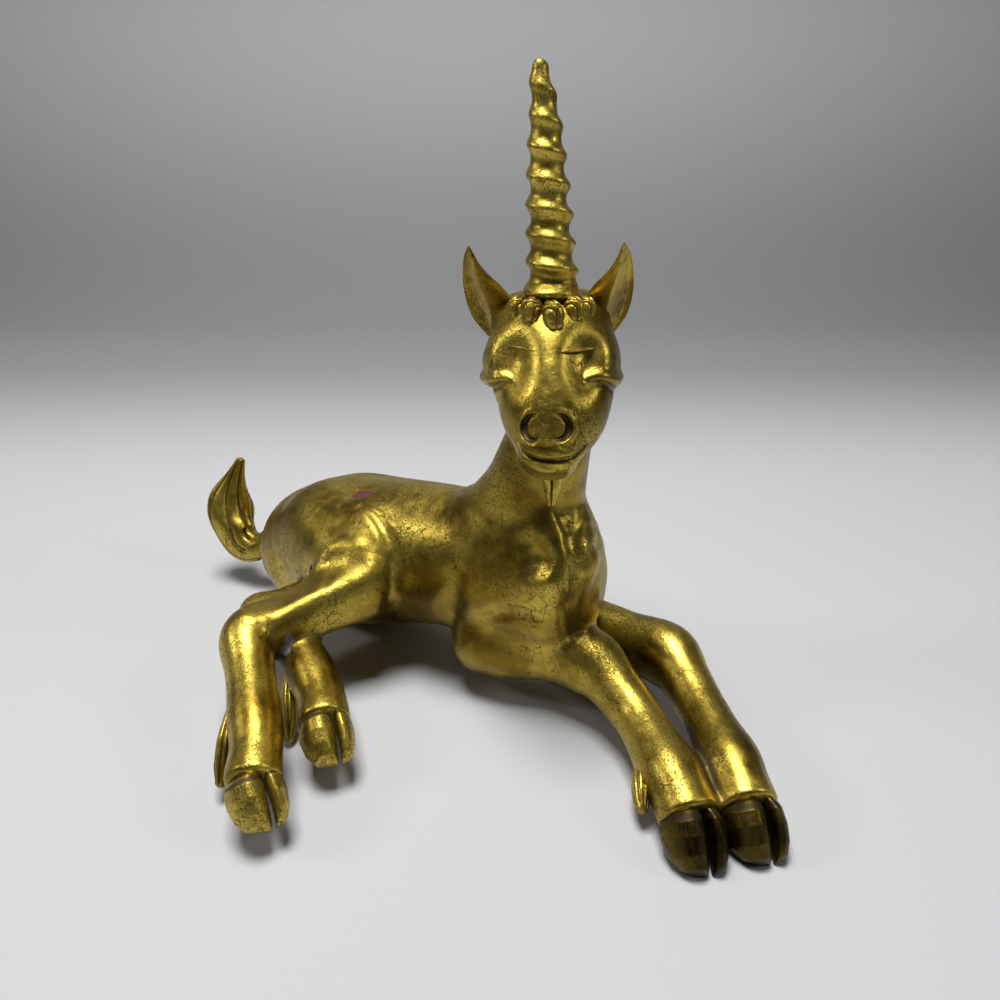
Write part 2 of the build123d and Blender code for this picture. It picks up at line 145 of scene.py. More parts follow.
class Tube:
    """A limb: elliptical sections carried along a bent path with rounded ends."""

    def __init__(self, joints, rows, up=UPWARD, caps=(0.0, 0.0), step=1.5 * MM, rounding=5 * MM):
        rows = np.array(rows)
        spans = np.linalg.norm(np.diff(joints, axis=0), axis=1)
        stops = np.concatenate([[0.0], np.cumsum(spans)])
        place = np.arange(len(joints))
        start = self.arc(rows[0, 0], place, stops)
        end = self.arc(rows[-1, 0], place, stops)
        count = max(8, int(np.ceil((end - start + caps[0] + caps[1]) / step)) + 1)
        run = np.linspace(start - caps[0], end + caps[1], count)
        spacing = run[1] - run[0]
        first, last = unit(joints[1] - joints[0]), unit(joints[-1] - joints[-2])
        centres = np.stack([np.interp(run, stops, column) for column in joints.T], axis=1)
        centres += np.minimum(run, 0)[:, None] * first
        centres += np.maximum(run - stops[-1], 0)[:, None] * last
        centres = soften(centres, rounding / spacing)
        row_runs = np.array([self.arc(value, place, stops) for value in rows[:, 0]])
        girths = np.stack([np.interp(run, row_runs, rows[:, column]) for column in (1, 2)], axis=1) / 2
        girths = soften(girths, 0.6 * rounding / spacing)
        for edge, cap in ((start, caps[0]), (end, caps[1])):
            if cap > 0:
                beyond = np.abs(run - edge) * ((run < edge) if edge == start else (run > edge)) / cap
                girths *= np.sqrt(np.clip(1 - beyond**2, 0.0, 1.0))[:, None]
        self.centres = centres
        tangents = unit(np.gradient(centres, axis=0))
        self.across = unit(np.cross(np.broadcast_to(up, centres.shape), tangents))
        self.rise = np.cross(tangents, self.across)
        self.girths = np.maximum(girths, 0.4 * MM)

    @staticmethod
    def arc(value, place, stops):
        """Distance along the joints at a place, run straight on before and after them."""
        if value < 0:
            return value * stops[1]
        if value > place[-1]:
            return stops[-1] + (value - place[-1]) * (stops[-1] - stops[-2])
        return float(np.interp(value, place, stops))


def sections(*rows):
    """Rows of place, width and depth, from rows of place, girth and the share of it each way."""
    return [(place, wide * girth, deep * girth) for place, girth, wide, deep in rows]


def stretch_distance(tube, index, x, y, z):
    """Distance to the stretch of a tube between two of its centres.

    Beside it the ellipse is measured by k0 (k0 - 1) / k1, where k0 is the length of the
    offset divided by the radii and k1 its length divided by their squares. Past its ends
    the distance along the bone is added as the other side of a right angle.
    """
    a, b = tube.centres[index], tube.centres[index + 1]
    bone = b - a
    size = float(bone @ bone)
    dx, dy, dz = x - np.float32(a[0]), y - np.float32(a[1]), z - np.float32(a[2])
    share = np.clip((dx * bone[0] + dy * bone[1] + dz * bone[2]) / size, 0, 1).astype(np.float32)

    def along(axis):
        return dx * axis[0] + dy * axis[1] + dz * axis[2] - share * float(bone @ axis)

    wide, deep = (first + share * (last - first) for first, last in zip(*tube.girths[index : index + 2]))
    past = np.abs(along(bone / np.sqrt(size))) - JOIN
    u, v = along(tube.across[index]) / wide, along(tube.rise[index]) / deep
    k0 = np.sqrt(u * u + v * v)
    beside = k0 * (k0 - 1) / (np.sqrt((u / wide) ** 2 + (v / deep) ** 2) + TINY)
    return np.where(past <= 0, beside, np.hypot(np.maximum(beside, 0), past))


class Clay:
    """A block of space that holds, at each of its points, the distance to the clay's skin."""

    def __init__(self, low, high, pitch):
        self.low = np.array(low, float)
        self.pitch = pitch
        self.shape = np.ceil((np.array(high) - self.low) / pitch).astype(int) + 1
        self.field = np.full(self.shape, FAR, np.float32)
        self.limbs = {}

    def window(self, low, high):
        """Slices of the block between two corners, and the x, y and z of their points."""
        first = np.clip(np.floor((low - self.low) / self.pitch).astype(int), 0, self.shape - 2)
        last = np.clip(np.ceil((high - self.low) / self.pitch).astype(int) + 1, first + 1, self.shape)
        slices = tuple(slice(a, b) for a, b in zip(first, last))
        axes = []
        for axis in range(3):
            values = self.low[axis] + self.pitch * np.arange(first[axis], last[axis])
            shape = [1, 1, 1]
            shape[axis] = -1
            axes.append(values.reshape(shape).astype(np.float32))
        return slices, axes

    def least(self, low, high, parts):
        """Least of many distances, each of which is worked out in its own small window.

        The parts are rows of a window's two corners and a function of its x, y and z.
        """
        slices, _ = self.window(low, high)
        field = np.full([s.stop - s.start for s in slices], FAR, np.float32)
        offset = np.array([s.start for s in slices])
        for near, far, distance in parts:
            part, (x, y, z) = self.window(near, far)
            here = tuple(slice(s.start - o, s.stop - o) for s, o in zip(part, offset))
            field[here] = np.minimum(field[here], distance(x, y, z).astype(np.float32))
        return slices, field

    def tube_distance(self, tube):
        """Least distance to the tube's short stretches, each a piece of an elliptical cone.

        Far off, the distance grows faster, so that no seam ends at a window's edge.
        """
        parts = []
        for index in range(len(tube.centres) - 1):
            ends = tube.centres[index : index + 2]
            reach = tube.girths[index : index + 2].max() + REACH
            parts.append((ends.min(0) - reach, ends.max(0) + reach, partial(stretch_distance, tube, index)))
        reach = tube.girths.max() + REACH
        slices, field = self.least(tube.centres.min(0) - reach, tube.centres.max(0) + reach, parts)
        field += np.maximum(field - FADE_FROM, 0) ** 2 / FADE_OVER
        return slices, field

    def add(self, name, tube):
        """Keep a limb's own distances under its name, to be joined later."""
        self.limbs[name] = self.tube_distance(tube)

    def join(self, names, seam):
        """Join limbs into the block, with a fillet of about the seam's width between them."""
        for name in names:
            slices, distance = self.limbs[name]
            self.field[slices] = soft_union(self.field[slices], distance, seam)

    def group(self, name, members, seam):
        """Join limbs among themselves into one limb of the given name."""
        low = np.min([[s.start for s in self.limbs[member][0]] for member in members], axis=0)
        high = np.max([[s.stop for s in self.limbs[member][0]] for member in members], axis=0)
        slices = tuple(slice(a, b) for a, b in zip(low, high))
        field = np.full(high - low, FAR, np.float32)
        for member in members:
            part, distance = self.limbs[member]
            here = tuple(slice(s.start - o, s.stop - o) for s, o in zip(part, low))
            field[here] = soft_union(field[here], distance, seam)
        self.limbs[name] = (slices, field)

    def smooth(self, passes):
        """Average each point with its neighbours along each axis, a quarter to each side."""
        for _ in range(passes):
            for axis in range(3):
                field = np.moveaxis(self.field, axis, 0)
                field[1:-1] = 0.5 * field[1:-1] + 0.25 * (field[:-2] + field[2:])

    def sample(self, points, slices=None, field=None):
        """Value of a field at points, straight between the eight nearest grid points."""
        if field is None:
            slices, field = tuple(slice(0, n) for n in self.shape), self.field
        low = np.array([s.start for s in slices])
        place = (points - self.low) / self.pitch - low
        limit = np.array(field.shape) - 1.001
        inside = np.all((place >= 0) & (place <= limit), axis=1)
        place = np.clip(place, 0, limit)
        cell = place.astype(int)
        part = (place - cell).astype(np.float32)
        value = np.zeros(len(points), np.float32)
        for corner in range(8):
            step = np.array([corner >> 2 & 1, corner >> 1 & 1, corner & 1])
            weight = np.prod(np.where(step, part, 1 - part), axis=1)
            at = cell + step
            value += weight * field[at[:, 0], at[:, 1], at[:, 2]]
        return np.where(inside, value, FAR)

    def slope(self, points):
        """Gradient of the field at points."""
        step = 0.8 * self.pitch
        sides = [self.sample(points + step * axis) - self.sample(points - step * axis) for axis in np.eye(3)]
        return np.stack(sides, axis=1) / (2 * step)

    def onto_skin(self, points, shift=0.0):
        """Points moved along the field's slope until they lie the shift outside the skin."""
        for _ in range(12):
            slope = self.slope(points)
            size = np.maximum(np.linalg.norm(slope, axis=1, keepdims=True), 0.3)
            miss = np.clip(self.sample(points)[:, None] - shift, -2 * MM, 2 * MM)
            points = points - miss * slope / size**2
        return points

    def skin(self):
        """Points and quads where the distance is zero, with each point's outward normal."""
        grid = openvdb.FloatGrid(3 * self.pitch)
        grid.copyFromArray(np.clip(self.field, -3 * self.pitch, 3 * self.pitch))
        grid.transform = openvdb.createLinearTransform(voxelSize=self.pitch)
        points, _, quads = grid.convertToPolygons(isovalue=0.0, adaptivity=0.0)
        points = points.astype(float) + self.low
        points = self.onto_skin(points)
        slope = self.slope(points)
        return points, quads.astype(int), unit(slope)


def soft_union(first, second, seam):
    """Lesser of two distances, eased by a quarter of the overlap squared over the seam."""
    overlap = np.maximum(seam - np.abs(first - second), 0)
    return np.minimum(first, second) - overlap * overlap / (4 * seam)


class LegSizes(bpy.types.PropertyGroup):
    """Bone lengths and girths of the four legs."""

    forearm_length: length("Forearm", "Elbow to knee", 0.049)
    fore_cannon_length: length("Fore cannon", "Knee to fetlock", 0.058)
    fore_pastern_length: length("Fore pastern", "To the hoof", 0.014)
    fore_hoof_length: length("Fore hoof", "Coronet to toe", 0.018)
    elbow_width: length("Elbow", "Across the elbow", 0.034)
    forearm_width: length("Forearm width", "Its middle", 0.023)
    knee_width: length("Knee", "Across the knee", 0.026)
    fore_cannon_width: length("Fore cannon width", "Middle", 0.0186)
    fore_fetlock_width: length("Fore fetlock", "Across", 0.0225)
    fore_coronet_width: length("Fore coronet", "Across", 0.020)
    fore_hoof_width: length("Fore hoof width", "Across", 0.0215)
    thigh_length: length("Thigh", "Hip to stifle", 0.052)
    gaskin_length: length("Gaskin", "Stifle to hock", 0.052)
    hind_cannon_length: length("Hind cannon", "Hock to fetlock", 0.050)
    hind_pastern_length: length("Hind pastern", "To the hoof", 0.015)
    hind_hoof_length: length("Hind hoof", "Coronet to toe", 0.017)
    haunch_width: length("Haunch", "Across the thigh", 0.046)
    stifle_width: length("Stifle", "Across the stifle", 0.033)
    gaskin_width: length("Gaskin width", "Its middle", 0.022)
    hock_width: length("Hock", "Across the hock", 0.0235)
    hind_cannon_width: length("Hind cannon width", "Middle", 0.020)
    hind_fetlock_width: length("Hind fetlock", "Across", 0.0205)
    hind_coronet_width: length("Hind coronet", "Across", 0.0185)
    hind_hoof_width: length("Hind hoof width", "Across", 0.0195)


RIGHT_ELBOW = np.array((-21.5, -12.0, 25.0)) * MM
LEFT_ELBOW = np.array((1.5, 26.0, 17.0)) * MM
RIGHT_HIP_OUT_HEIGHT = np.array((8.0, 46.0)) * MM
LEFT_HIP_OUT_HEIGHT = np.array((18.0, 29.0)) * MM
HIP_SHARES = (0.84, 1.24)
CHEST_OVERHANG = 28 * MM
NECK_SHIFT = 5.6 * MM
CANNON_BOW = 1.4 * MM
IMAGE_RIGHT = bearing(33, 0)
FORE_TURNS = ((8, -25, -42, -45, -50), (-6, -44, -48, -51, -48))
FORE_RISES = ((1, -17, -6, -12, -38), (5.8, -9, -6, -12, -38))
HIND_TURNS = ((-29, -114, -36, -48, -28), (-23, -101, -26, -42, -37))
HIND_RISES = ((-2.5, -9, -15, -11, -37), (0, -2, -7, -8, -22))


def trunk_joints(s):
    """Rump, waist, chest and the end of the trunk."""
    return np.array(
        (
            (-s.loin_length - s.rib_length, 0, s.rump_height),
            (-s.rib_length, 0, s.waist_height),
            (0, 0, s.chest_height),
            (CHEST_OVERHANG, 0, s.chest_height),
        )
    )


def foreleg_joints(legs, side):
    """Elbow, knee, mid cannon, fetlock, coronet and toe of one foreleg."""
    cannon = legs.fore_cannon_length / 2
    bones = (legs.forearm_length, cannon, cannon, legs.fore_pastern_length, legs.fore_hoof_length)
    start = (RIGHT_ELBOW, LEFT_ELBOW)[side]
    return chain(start, bones, FORE_TURNS[side], FORE_RISES[side])


def hindleg_joints(s, legs, side):
    """Hip, stifle, hock, fetlock, coronet and toe of one hind leg."""
    out, height = (RIGHT_HIP_OUT_HEIGHT, LEFT_HIP_OUT_HEIGHT)[side]
    hip = np.array((-s.loin_length - HIP_SHARES[side] * s.rib_length, -out if side == 0 else out, height))
    shank = (legs.hind_cannon_length, legs.hind_pastern_length, legs.hind_hoof_length)
    bones = (legs.thigh_length, legs.gaskin_length, *shank)
    return chain(hip, bones, HIND_TURNS[side], HIND_RISES[side])


def trunk_tube(s):
    """Rump, waist and chest, round at the rump and blunt at the breast."""
    rows = (
        (0.0, 0.97 * s.rump_width, 0.95 * s.rump_depth),
        (0.35, 1.08 * s.rump_width, 1.13 * s.rump_depth),
        (0.70, 1.22 * s.waist_width, 1.02 * s.waist_depth),
        (1.0, 1.06 * s.waist_width, 0.97 * s.waist_depth),
        (1.5, 0.96 * s.chest_width, 0.94 * s.chest_depth),
        (2.0, 0.93 * s.chest_width, s.chest_depth),
        (2.2, 0.86 * s.chest_width, 0.98 * s.chest_depth),
    )
    return Tube(trunk_joints(s), rows, caps=(0.49 * s.rump_depth, 19 * MM), step=3 * MM, rounding=9 * MM)


def neck_joints(s):
    """Root of the neck inside the chest and its top inside the skull."""
    root = np.array((-14 * MM, 0, 48 * MM))
    return chain(root, [s.neck_length / 2] * 2, (8, 8), (81.5, 81.5))


def neck_tube(s):
    """Neck, wide and deep at its root and round at the throat."""
    rows = (
        (0.0, 46 * MM, 58 * MM),
        (0.56, 42 * MM, 60 * MM),
        (1.0, 1.1 * s.neck_width, 1.26 * s.neck_depth),
        (1.48, s.neck_width, s.neck_depth),
        (2.0, 0.94 * s.neck_width, 0.9 * s.neck_depth),
    )
    tube = Tube(neck_joints(s), rows, up=np.array((-1.0, 0, 0)), caps=(5 * MM, 6 * MM), step=2 * MM)
    share = np.clip(np.linspace(-0.5, 1.2, len(tube.centres)), 0, 1)
    tube.centres += (share * NECK_SHIFT)[:, None] * IMAGE_RIGHT
    return tube


def foreleg_tube(legs, side):
    """Foreleg from behind the elbow to the coronet; the far elbow is the slighter one."""
    elbow = (1.0, 0.83)[side] * legs.elbow_width
    cannon, fetlock, coronet = legs.fore_cannon_width, legs.fore_fetlock_width, legs.fore_coronet_width
    rows = sections(
        (0.0, elbow, 0.92, 1.04),
        (0.3, elbow, 0.90, 1.0),
        (0.62, legs.forearm_width, 1.0, 1.12),
        (1.0, legs.knee_width, 1.0, 1.1),
        (1.4, cannon, 1.08, 1.18),
        (2.0, cannon, 0.97, 1.06),
        (2.45, cannon, 1.02, 1.08),
        (2.9, fetlock, 1.02, 1.05),
        (3.4, fetlock, 0.88, 0.93),
        (3.8, coronet, 1.06, 1.05),
        (4.0, coronet, 1.05, 1.03),
    )
    return Tube(foreleg_joints(legs, side), rows, caps=(13 * MM, 1.0 * MM), rounding=5 * MM)


def thigh_tube(s, legs, side):
    """Haunch from the hip to the stifle."""
    rows = sections(
        (0.1, legs.haunch_width, 0.94, 1.1),
        (0.5, legs.haunch_width, 0.84, 1.04),
        (0.85, legs.stifle_width, 1.0, 1.2),
    )
    return Tube(hindleg_joints(s, legs, side)[:3], rows, caps=(21 * MM, 12 * MM), rounding=7 * MM)


def hindleg_tube(s, legs, side):
    """Hind leg from the stifle to the coronet; the near one bows towards the picture's right."""
    cannon, fetlock, coronet = legs.hind_cannon_width, legs.hind_fetlock_width, legs.hind_coronet_width
    rows = sections(
        (0.05, legs.stifle_width, 0.86, 1.02),
        (0.4, legs.gaskin_width, 1.06, 1.2),
        (0.7, legs.gaskin_width, 1.0, 1.06),
        (1.0, legs.hock_width, 1.0, 1.12),
        (1.3, cannon, 0.92, 1.04),
        (1.55, cannon, 0.92, 1.04),
        (1.82, fetlock, 0.97, 1.04),
        (2.3, fetlock, 0.87, 0.92),
        (2.8, coronet, 1.06, 1.04),
        (3.0, coronet, 1.04, 1.02),
    )
    tube = Tube(hindleg_joints(s, legs, side)[1:], rows, caps=(13 * MM, 1.0 * MM), rounding=4.5 * MM)
    if side == 0:
        bow = np.sin(np.pi * np.linspace(0, 1, len(tube.centres))) ** 2
        tube.centres += (bow * CANNON_BOW)[:, None] * IMAGE_RIGHT
    return tube


class HeadSizes(bpy.types.PropertyGroup):
    """Sizes of the head, its horn, ears, curls and beard."""

    head_length: length("Head", "Back of the skull to the lips", 0.074)
    skull_width: length("Skull width", "Across the brow", 0.046)
    skull_depth: length("Skull depth", "Crown to jaw", 0.046)
    jaw_width: length("Jaw width", "Across the cheeks", 0.039)
    muzzle_width: length("Muzzle width", "Across the nostrils", 0.022)
    muzzle_depth: length("Muzzle depth", "Nose to lip", 0.023)
    skull_back: FloatVectorProperty(
        name="Skull", description="Back of the skull", default=(-0.01165, 0.01959, 0.16099), subtype="TRANSLATION"
    )
    heading: FloatProperty(name="Heading", description="Turn of the face in degrees", default=-61.0)
    pitch: FloatProperty(name="Pitch", description="Nod of the face in degrees", default=-38.0)
    roll: FloatProperty(name="Roll", description="Tilt of the face in degrees", default=2.4)
    lid_length: length("Lid length", "Inner to outer corner", 0.021)
    lid_width: length("Lid width", "Brow to lashes", 0.015)
    lid_depth: length("Lid depth", "Swell of the lid", 0.012)
    horn_length: length("Horn", "Brow to tip", 0.073)
    horn_base_width: length("Horn base", "Width at the brow", 0.018)
    horn_pitch: length("Horn pitch", "Rise in one turn", 0.00894)
    horn_ridge: length("Horn ridge", "Height of the ridge", 0.0011)
    ear_length: length("Ear", "Root to tip", 0.034)
    curl_width: length("Curl", "Width of one curl", 0.005)
    beard_length: length("Beard", "Chin to tip", 0.018)


class TailSizes(bpy.types.PropertyGroup):
    """Sizes of the tail and of the hair behind the fetlocks."""

    dock_length: length("Dock", "Rump to plume", 0.030)
    dock_width: length("Dock width", "Across the dock", 0.0115)
    plume_length: length("Plume", "Dock to tip", 0.060)
    plume_width: length("Plume width", "Across the plume", 0.026)
    plume_depth: length("Plume depth", "Through the plume", 0.017)
    fore_tuft_length: length("Fore tuft", "Length", 0.022)
    hind_tuft_length: length("Hind tuft", "Length", 0.032)
    tuft_width: length("Tuft width", "Across a tuft", 0.013)
    tuft_depth: length("Tuft depth", "Through a tuft", 0.007)


TO_OWN_FRAME = np.array((42.267, 45.248, 0.0)) * MM  # from under the chest to under the box's middle
FACE_SHIFT = 0.8 * MM
HEAD_BOW = 2.6 * MM
TAIL_ROOT = np.array((-144.5, -2.5, 39.0)) * MM
TAIL_TURNS = (196, 204, 200, 183, 172, 129, 58, 58)
TAIL_RISES = (-22, -48, -39, 5, 57, 76, 69, 67)


def dock_joints(t):
    """Tail root inside the rump, then three short bones down the dock and five up the plume."""
    bones = [t.dock_length / 3] * 3 + [t.plume_length / 5] * 5
    return chain(TAIL_ROOT, bones, TAIL_TURNS, TAIL_RISES)


def dock_tube(t):
    """Dock of the tail, which swells where the plume starts."""
    width = t.dock_width
    rows = sections((0.0, width, 1.0, 1.0), (1.0, width, 0.94, 0.94), (2.0, width, 1.0, 1.0), (3.0, width, 1.3, 1.15))
    return Tube(dock_joints(t), rows, caps=(4 * MM, 4 * MM), rounding=4 * MM)


class HeadFrame:
    """The head's own axes: along to the lips, to its left, and up."""

    def __init__(self, h):
        self.back = np.array(h.skull_back)
        self.length = h.head_length
        self.axis = bearing(h.heading, h.pitch)
        level = unit(np.cross(UPWARD, self.axis))
        tilt = np.radians(h.roll)
        self.left = level * np.cos(tilt) + np.cross(self.axis, level) * np.sin(tilt)
        self.up = np.cross(self.axis, self.left)

    def at(self, along, left, up):
        """Point at a share of the head's length, and sideways and up from its axis."""
        return self.back + self.axis * (self.length * along) + self.left * left + self.up * up

    def path(self, rows):
        """Points for rows of share along, and millimetres to the left and up."""
        return np.array([self.at(along, left * MM, up * MM) for along, left, up in rows])


def head_tube(h, head):
    """Skull, cheeks and muzzle along the head's axis."""
    rows = (
        (0.05, 0.52 * h.skull_width, 0.55 * h.skull_depth),
        (0.17, 0.84 * h.skull_width, 0.85 * h.skull_depth),
        (0.34, h.skull_width, h.skull_depth),
        (0.48, 0.93 * h.skull_width, 0.98 * h.skull_depth),
        (0.62, 1.03 * h.jaw_width, 0.88 * h.skull_depth),
        (0.76, 0.90 * h.jaw_width, 0.45 * h.skull_depth + 0.5 * h.muzzle_depth),
        (0.89, h.muzzle_width, h.muzzle_depth),
        (0.95, 0.86 * h.muzzle_width, 0.86 * h.muzzle_depth),
    )
    joints = np.array((head.at(0, 0, 0), head.at(1, 0, 0)))
    tube = Tube(joints, rows, up=head.up, caps=(3.6 * MM, 3.8 * MM), step=1.8 * MM, rounding=4 * MM)
    share = np.clip((tube.centres - head.back) @ head.axis / head.length, 0, 1)
    tube.centres += (HEAD_BOW * np.sin(np.pi * share**1.25))[:, None] * head.left
    return tube


def lid_tube(h, head, side):
    """Closed eyelid that droops to a flared outer corner."""
    brow, reach, depth = 0.325 * h.skull_width, h.lid_length, h.skull_depth
    joints = [
        head.at(along, side * (brow + out * reach) + FACE_SHIFT, up * depth)
        for along, out, up in ((0.36, -0.2, 0.12), (0.41, 0.16, 0.03), (0.43, 0.34, -0.06), (0.44, 0.42, -0.09))
    ]
    rows = ((0.0, 0.3, 0.3), (0.3, 0.62, 0.6), (1.0, 0.9, 0.9), (1.5, 0.7, 0.66), (2.0, 0.42, 0.36), (2.6, 0.26, 0.24))
    rows = np.array(rows) * (1, h.lid_width, h.lid_depth)
    return Tube(np.array(joints), rows, up=head.up, caps=(1 * MM, 1 * MM), step=1 * MM, rounding=2 * MM)


def resample(points, step):
    """Points at even steps along a path whose corners are rounded off."""
    points = np.asarray(points, float)
    stops = np.concatenate([[0.0], np.cumsum(np.linalg.norm(np.diff(points, axis=0), axis=1))])
    run = np.linspace(0, stops[-1], max(5, int(stops[-1] / step) + 1))
    even = np.stack([np.interp(run, stops, column) for column in points.T], axis=1)
    spread = min(len(run) / 8, stops[-1] / len(points) / 2.2 / (run[1] - run[0]))
    return soften(even, spread), run / stops[-1]


def blend(clay, slices, distance, seam, hollow):
    """Blend a shape onto the clay, or out of it."""
    field = clay.field[slices]
    clay.field[slices] = -soft_union(-field, distance, seam) if hollow else soft_union(field, distance, seam)


def lay(clay, points, radii, seam, shift=0.0, hollow=False):
    """Lay a roll of clay along a path on the skin and blend it in, or press a groove there.

    The roll is a row of balls whose radii are spread evenly along the path.
    """
    path, share = resample(points, 1.2 * clay.pitch)
    path = clay.onto_skin(path, shift)
    radii = np.interp(share, np.linspace(0, 1, len(radii)), radii)
    reach = radii.max() + seam + 2 * clay.pitch

    def ball(centre, radius, x, y, z):
        return np.sqrt((x - centre[0]) ** 2 + (y - centre[1]) ** 2 + (z - centre[2]) ** 2) - radius

    parts = [(at - reach, at + reach, partial(ball, at, radius)) for at, radius in zip(path, radii)]
    slices, distance = clay.least(path.min(0) - reach, path.max(0) + reach, parts)
    blend(clay, slices, distance, seam, hollow)


press = partial(lay, hollow=True)


def lump(clay, centre, axes, radii, seam, hollow=False):
    """Blend an egg shape onto the clay, or out of it, by the distance k0 (k0 - 1) / k1."""
    reach = max(radii) + REACH
    slices, (x, y, z) = clay.window(centre - reach, centre + reach)
    k0, k1 = 0.0, 0.0
    for axis, radius in zip(axes, radii):
        part = ((x - centre[0]) * axis[0] + (y - centre[1]) * axis[1] + (z - centre[2]) * axis[2]) / radius
        k0 = k0 + part * part
        k1 = k1 + (part / radius) ** 2
    k0 = np.sqrt(k0)
    distance = (k0 * (k0 - 1) / (np.sqrt(k1) + TINY)).astype(np.float32)
    blend(clay, slices, distance, seam, hollow)


def body_limbs(clay, sizes, legs, head_sizes, tail):
    """Fill the clay's list of limbs with every tube of the body."""
    head = HeadFrame(head_sizes)
    clay.add("torso", trunk_tube(sizes))
    clay.add("neck", neck_tube(sizes))
    clay.add("head", head_tube(head_sizes, head))
    clay.add("tail_dock", dock_tube(tail))
    for side, name in enumerate(("right", "left")):
        clay.add(f"{name}_foreleg", foreleg_tube(legs, side))
        clay.add(f"{name}_thigh", thigh_tube(sizes, legs, side))
        clay.add(f"{name}_hindleg", hindleg_tube(sizes, legs, side))


BODY_BLOCK = np.array(((-206, -136, -3), (120, 48, 152))) * MM
HEAD_BLOCK = np.array(((-46, -52, 88), (44, 46, 186))) * MM
HEAD_LIMBS = ("head", "right_eyelid", "left_eyelid", "neck")
BODY_LIMBS = (
    "torso",
    "neck",
    "tail_dock",
    "right_foreleg",
    "left_foreleg",
    "right_thigh",
    "left_thigh",
    "right_hindleg",
    "left_hindleg",
)
HEAD_HANDICAPS = np.array((0.0, 0.6, 0.6, 1.0)) * MM
HEAD_SEAM = 6 * MM


# Limbs in the order of joining, each with its seam's width in millimetres
BODY_JOINS = (
    ("trunk", 2), ("right_haunch", 7), ("left_haunch", 3), ("left_foreleg", 3), ("right_foreleg", 5), ("tail_dock", 5),
)
FLANK = (
    (-79.5, -19.5, 71.5), (-70.1, -21.0, 70.4), (-62.7, -24.1, 67.2), (-57.0, -26.7, 63.4),
    (-53.2, -29.7, 59.3), (-54.3, -30.3, 52.1), (-55.7, -31.7, 46.1), (-57.3, -33.5, 41.6),
)
GASKIN = ((-86.0, -69.0, 47.5), (-83.3, -55.0, 50.0), (-75.4, -45.3, 55.0), (-67.5, -38.7, 57.0))
FAR_HOCK, FAR_HOCK_RADII, FAR_HOCK_SEAM = (-106.0, -58.0, 29.5), (11, 10, 9.5), 5
SHOULDER_EDGE = (
    (9.9, -15.1, 87.9), (13.0, -15.3, 84.7), (16.4, -15.8, 80.5), (18.7, -17.4, 75.7), (18.8, -20.2, 69.5),
    (17.8, -23.1, 61.2),
)
BREAST_CREASE = (
    (12.2, -6.9, 94.2), (16.4, -7.8, 87.4), (21.6, -12.0, 80.8), (23.4, -13.4, 71.3), (24.6, -14.4, 63.5),
    (24.2, -16.7, 57.3),
)
THROAT_FOLD = ((10.1, -10.7, 94.0), (13.9, -9.6, 89.2), (17.9, -9.6, 84.5))
CHEST_FOLD = ((18.2, 1.7, 87.4), (19.6, -4.0, 85.0), (20.7, -10.7, 82.4))
FAR_SHOULDER = ((19.7, -0.9, 85.4), (24.0, -5.0, 78.0), (26.4, -8.0, 67.6), (26.2, -11.0, 59.3))
ELBOW_CREASE = ((-24.3, -30.4, 58.0), (-24.8, -31.9, 51.0), (-28.9, -28.1, 40.4), (-32.2, -22.9, 28.8))
SHOULDER_DIMPLE = ((5.0, -22.5, 78.5), (9.0, -23.0, 76.0), (7.5, -25.0, 71.5))
ARM_CREASE = ((-11.7, -29.4, 42.2), (-1.2, -31.1, 49.9), (6.8, -29.7, 51.1), (14.4, -27.1, 50.6))
# Each fold's way, points, radii, seam, lift off the skin and, for one, how far it is moved, in millimetres
HAUNCH_FOLDS = (
    (lay, FLANK, (1, 4, 6, 7, 7, 6, 4, 2), 12, -4.4, (-9, -2, 1)),
    (press, FLANK, (0.4, 1.1, 1.8, 2.2, 2.2, 2.0, 1.6, 0.6), 3.5, 0.4),
    (press, GASKIN, (5, 8, 8, 5), 8, 5.6),
)
SHOULDER_FOLDS = (
    (lay, SHOULDER_EDGE, (4, 6, 7, 7, 7, 4), 6, -4.4),
    (press, BREAST_CREASE, (0.6, 1.8, 2.6, 2.8, 2.6, 1.2), 5, 1.0),
    (press, THROAT_FOLD, (0.6, 1.6, 1.2), 2, 0.5),
    (press, CHEST_FOLD, (0.6, 1.6, 1.2), 2, 0.5),
    (lay, FAR_SHOULDER, (3, 6, 6, 3), 5, -4.6),
    (press, ELBOW_CREASE, (0.8, 2.6, 2.8, 1.4), 7, 1.5),
    (press, SHOULDER_DIMPLE, (4, 6, 4), 6, 4.3),
    (press, ARM_CREASE, (0.8, 2.0, 2.0, 0.8), 5, 0.9),
)


def fold(clay, way, points, radii, seam, lift, moved=(0, 0, 0)):
    """Lay or press one fold whose sizes are all in millimetres."""
    way(clay, mm(*points) + mm(moved), mm(*radii), seam * MM, lift * MM)


def model_body(clay):
    """Join the limbs, let the seams settle, fold the skin and raise the far hock."""
    clay.group("right_haunch", ("right_thigh", "right_hindleg"), 8 * MM)
    clay.group("left_haunch", ("left_thigh", "left_hindleg"), 8 * MM)
    clay.group("trunk", ("torso", "neck"), 9 * MM)
    for name, seam in BODY_JOINS:
        clay.join((name,), seam * MM)
    clay.join(("head",), HEAD_SEAM)
    clay.smooth(2)
    for row in HAUNCH_FOLDS:
        fold(clay, *row)
    lump(clay, np.array(FAR_HOCK) * MM, np.eye(3), mm(*FAR_HOCK_RADII), FAR_HOCK_SEAM * MM)
    for row in SHOULDER_FOLDS:
        fold(clay, *row)
    clay.smooth(1)


def cut_at_table(clay):
    """Cut the clay flat where it would sink into the table."""
    z = clay.low[2] + clay.pitch * np.arange(clay.shape[2])
    clay.field = np.maximum(clay.field, (-z).astype(np.float32))


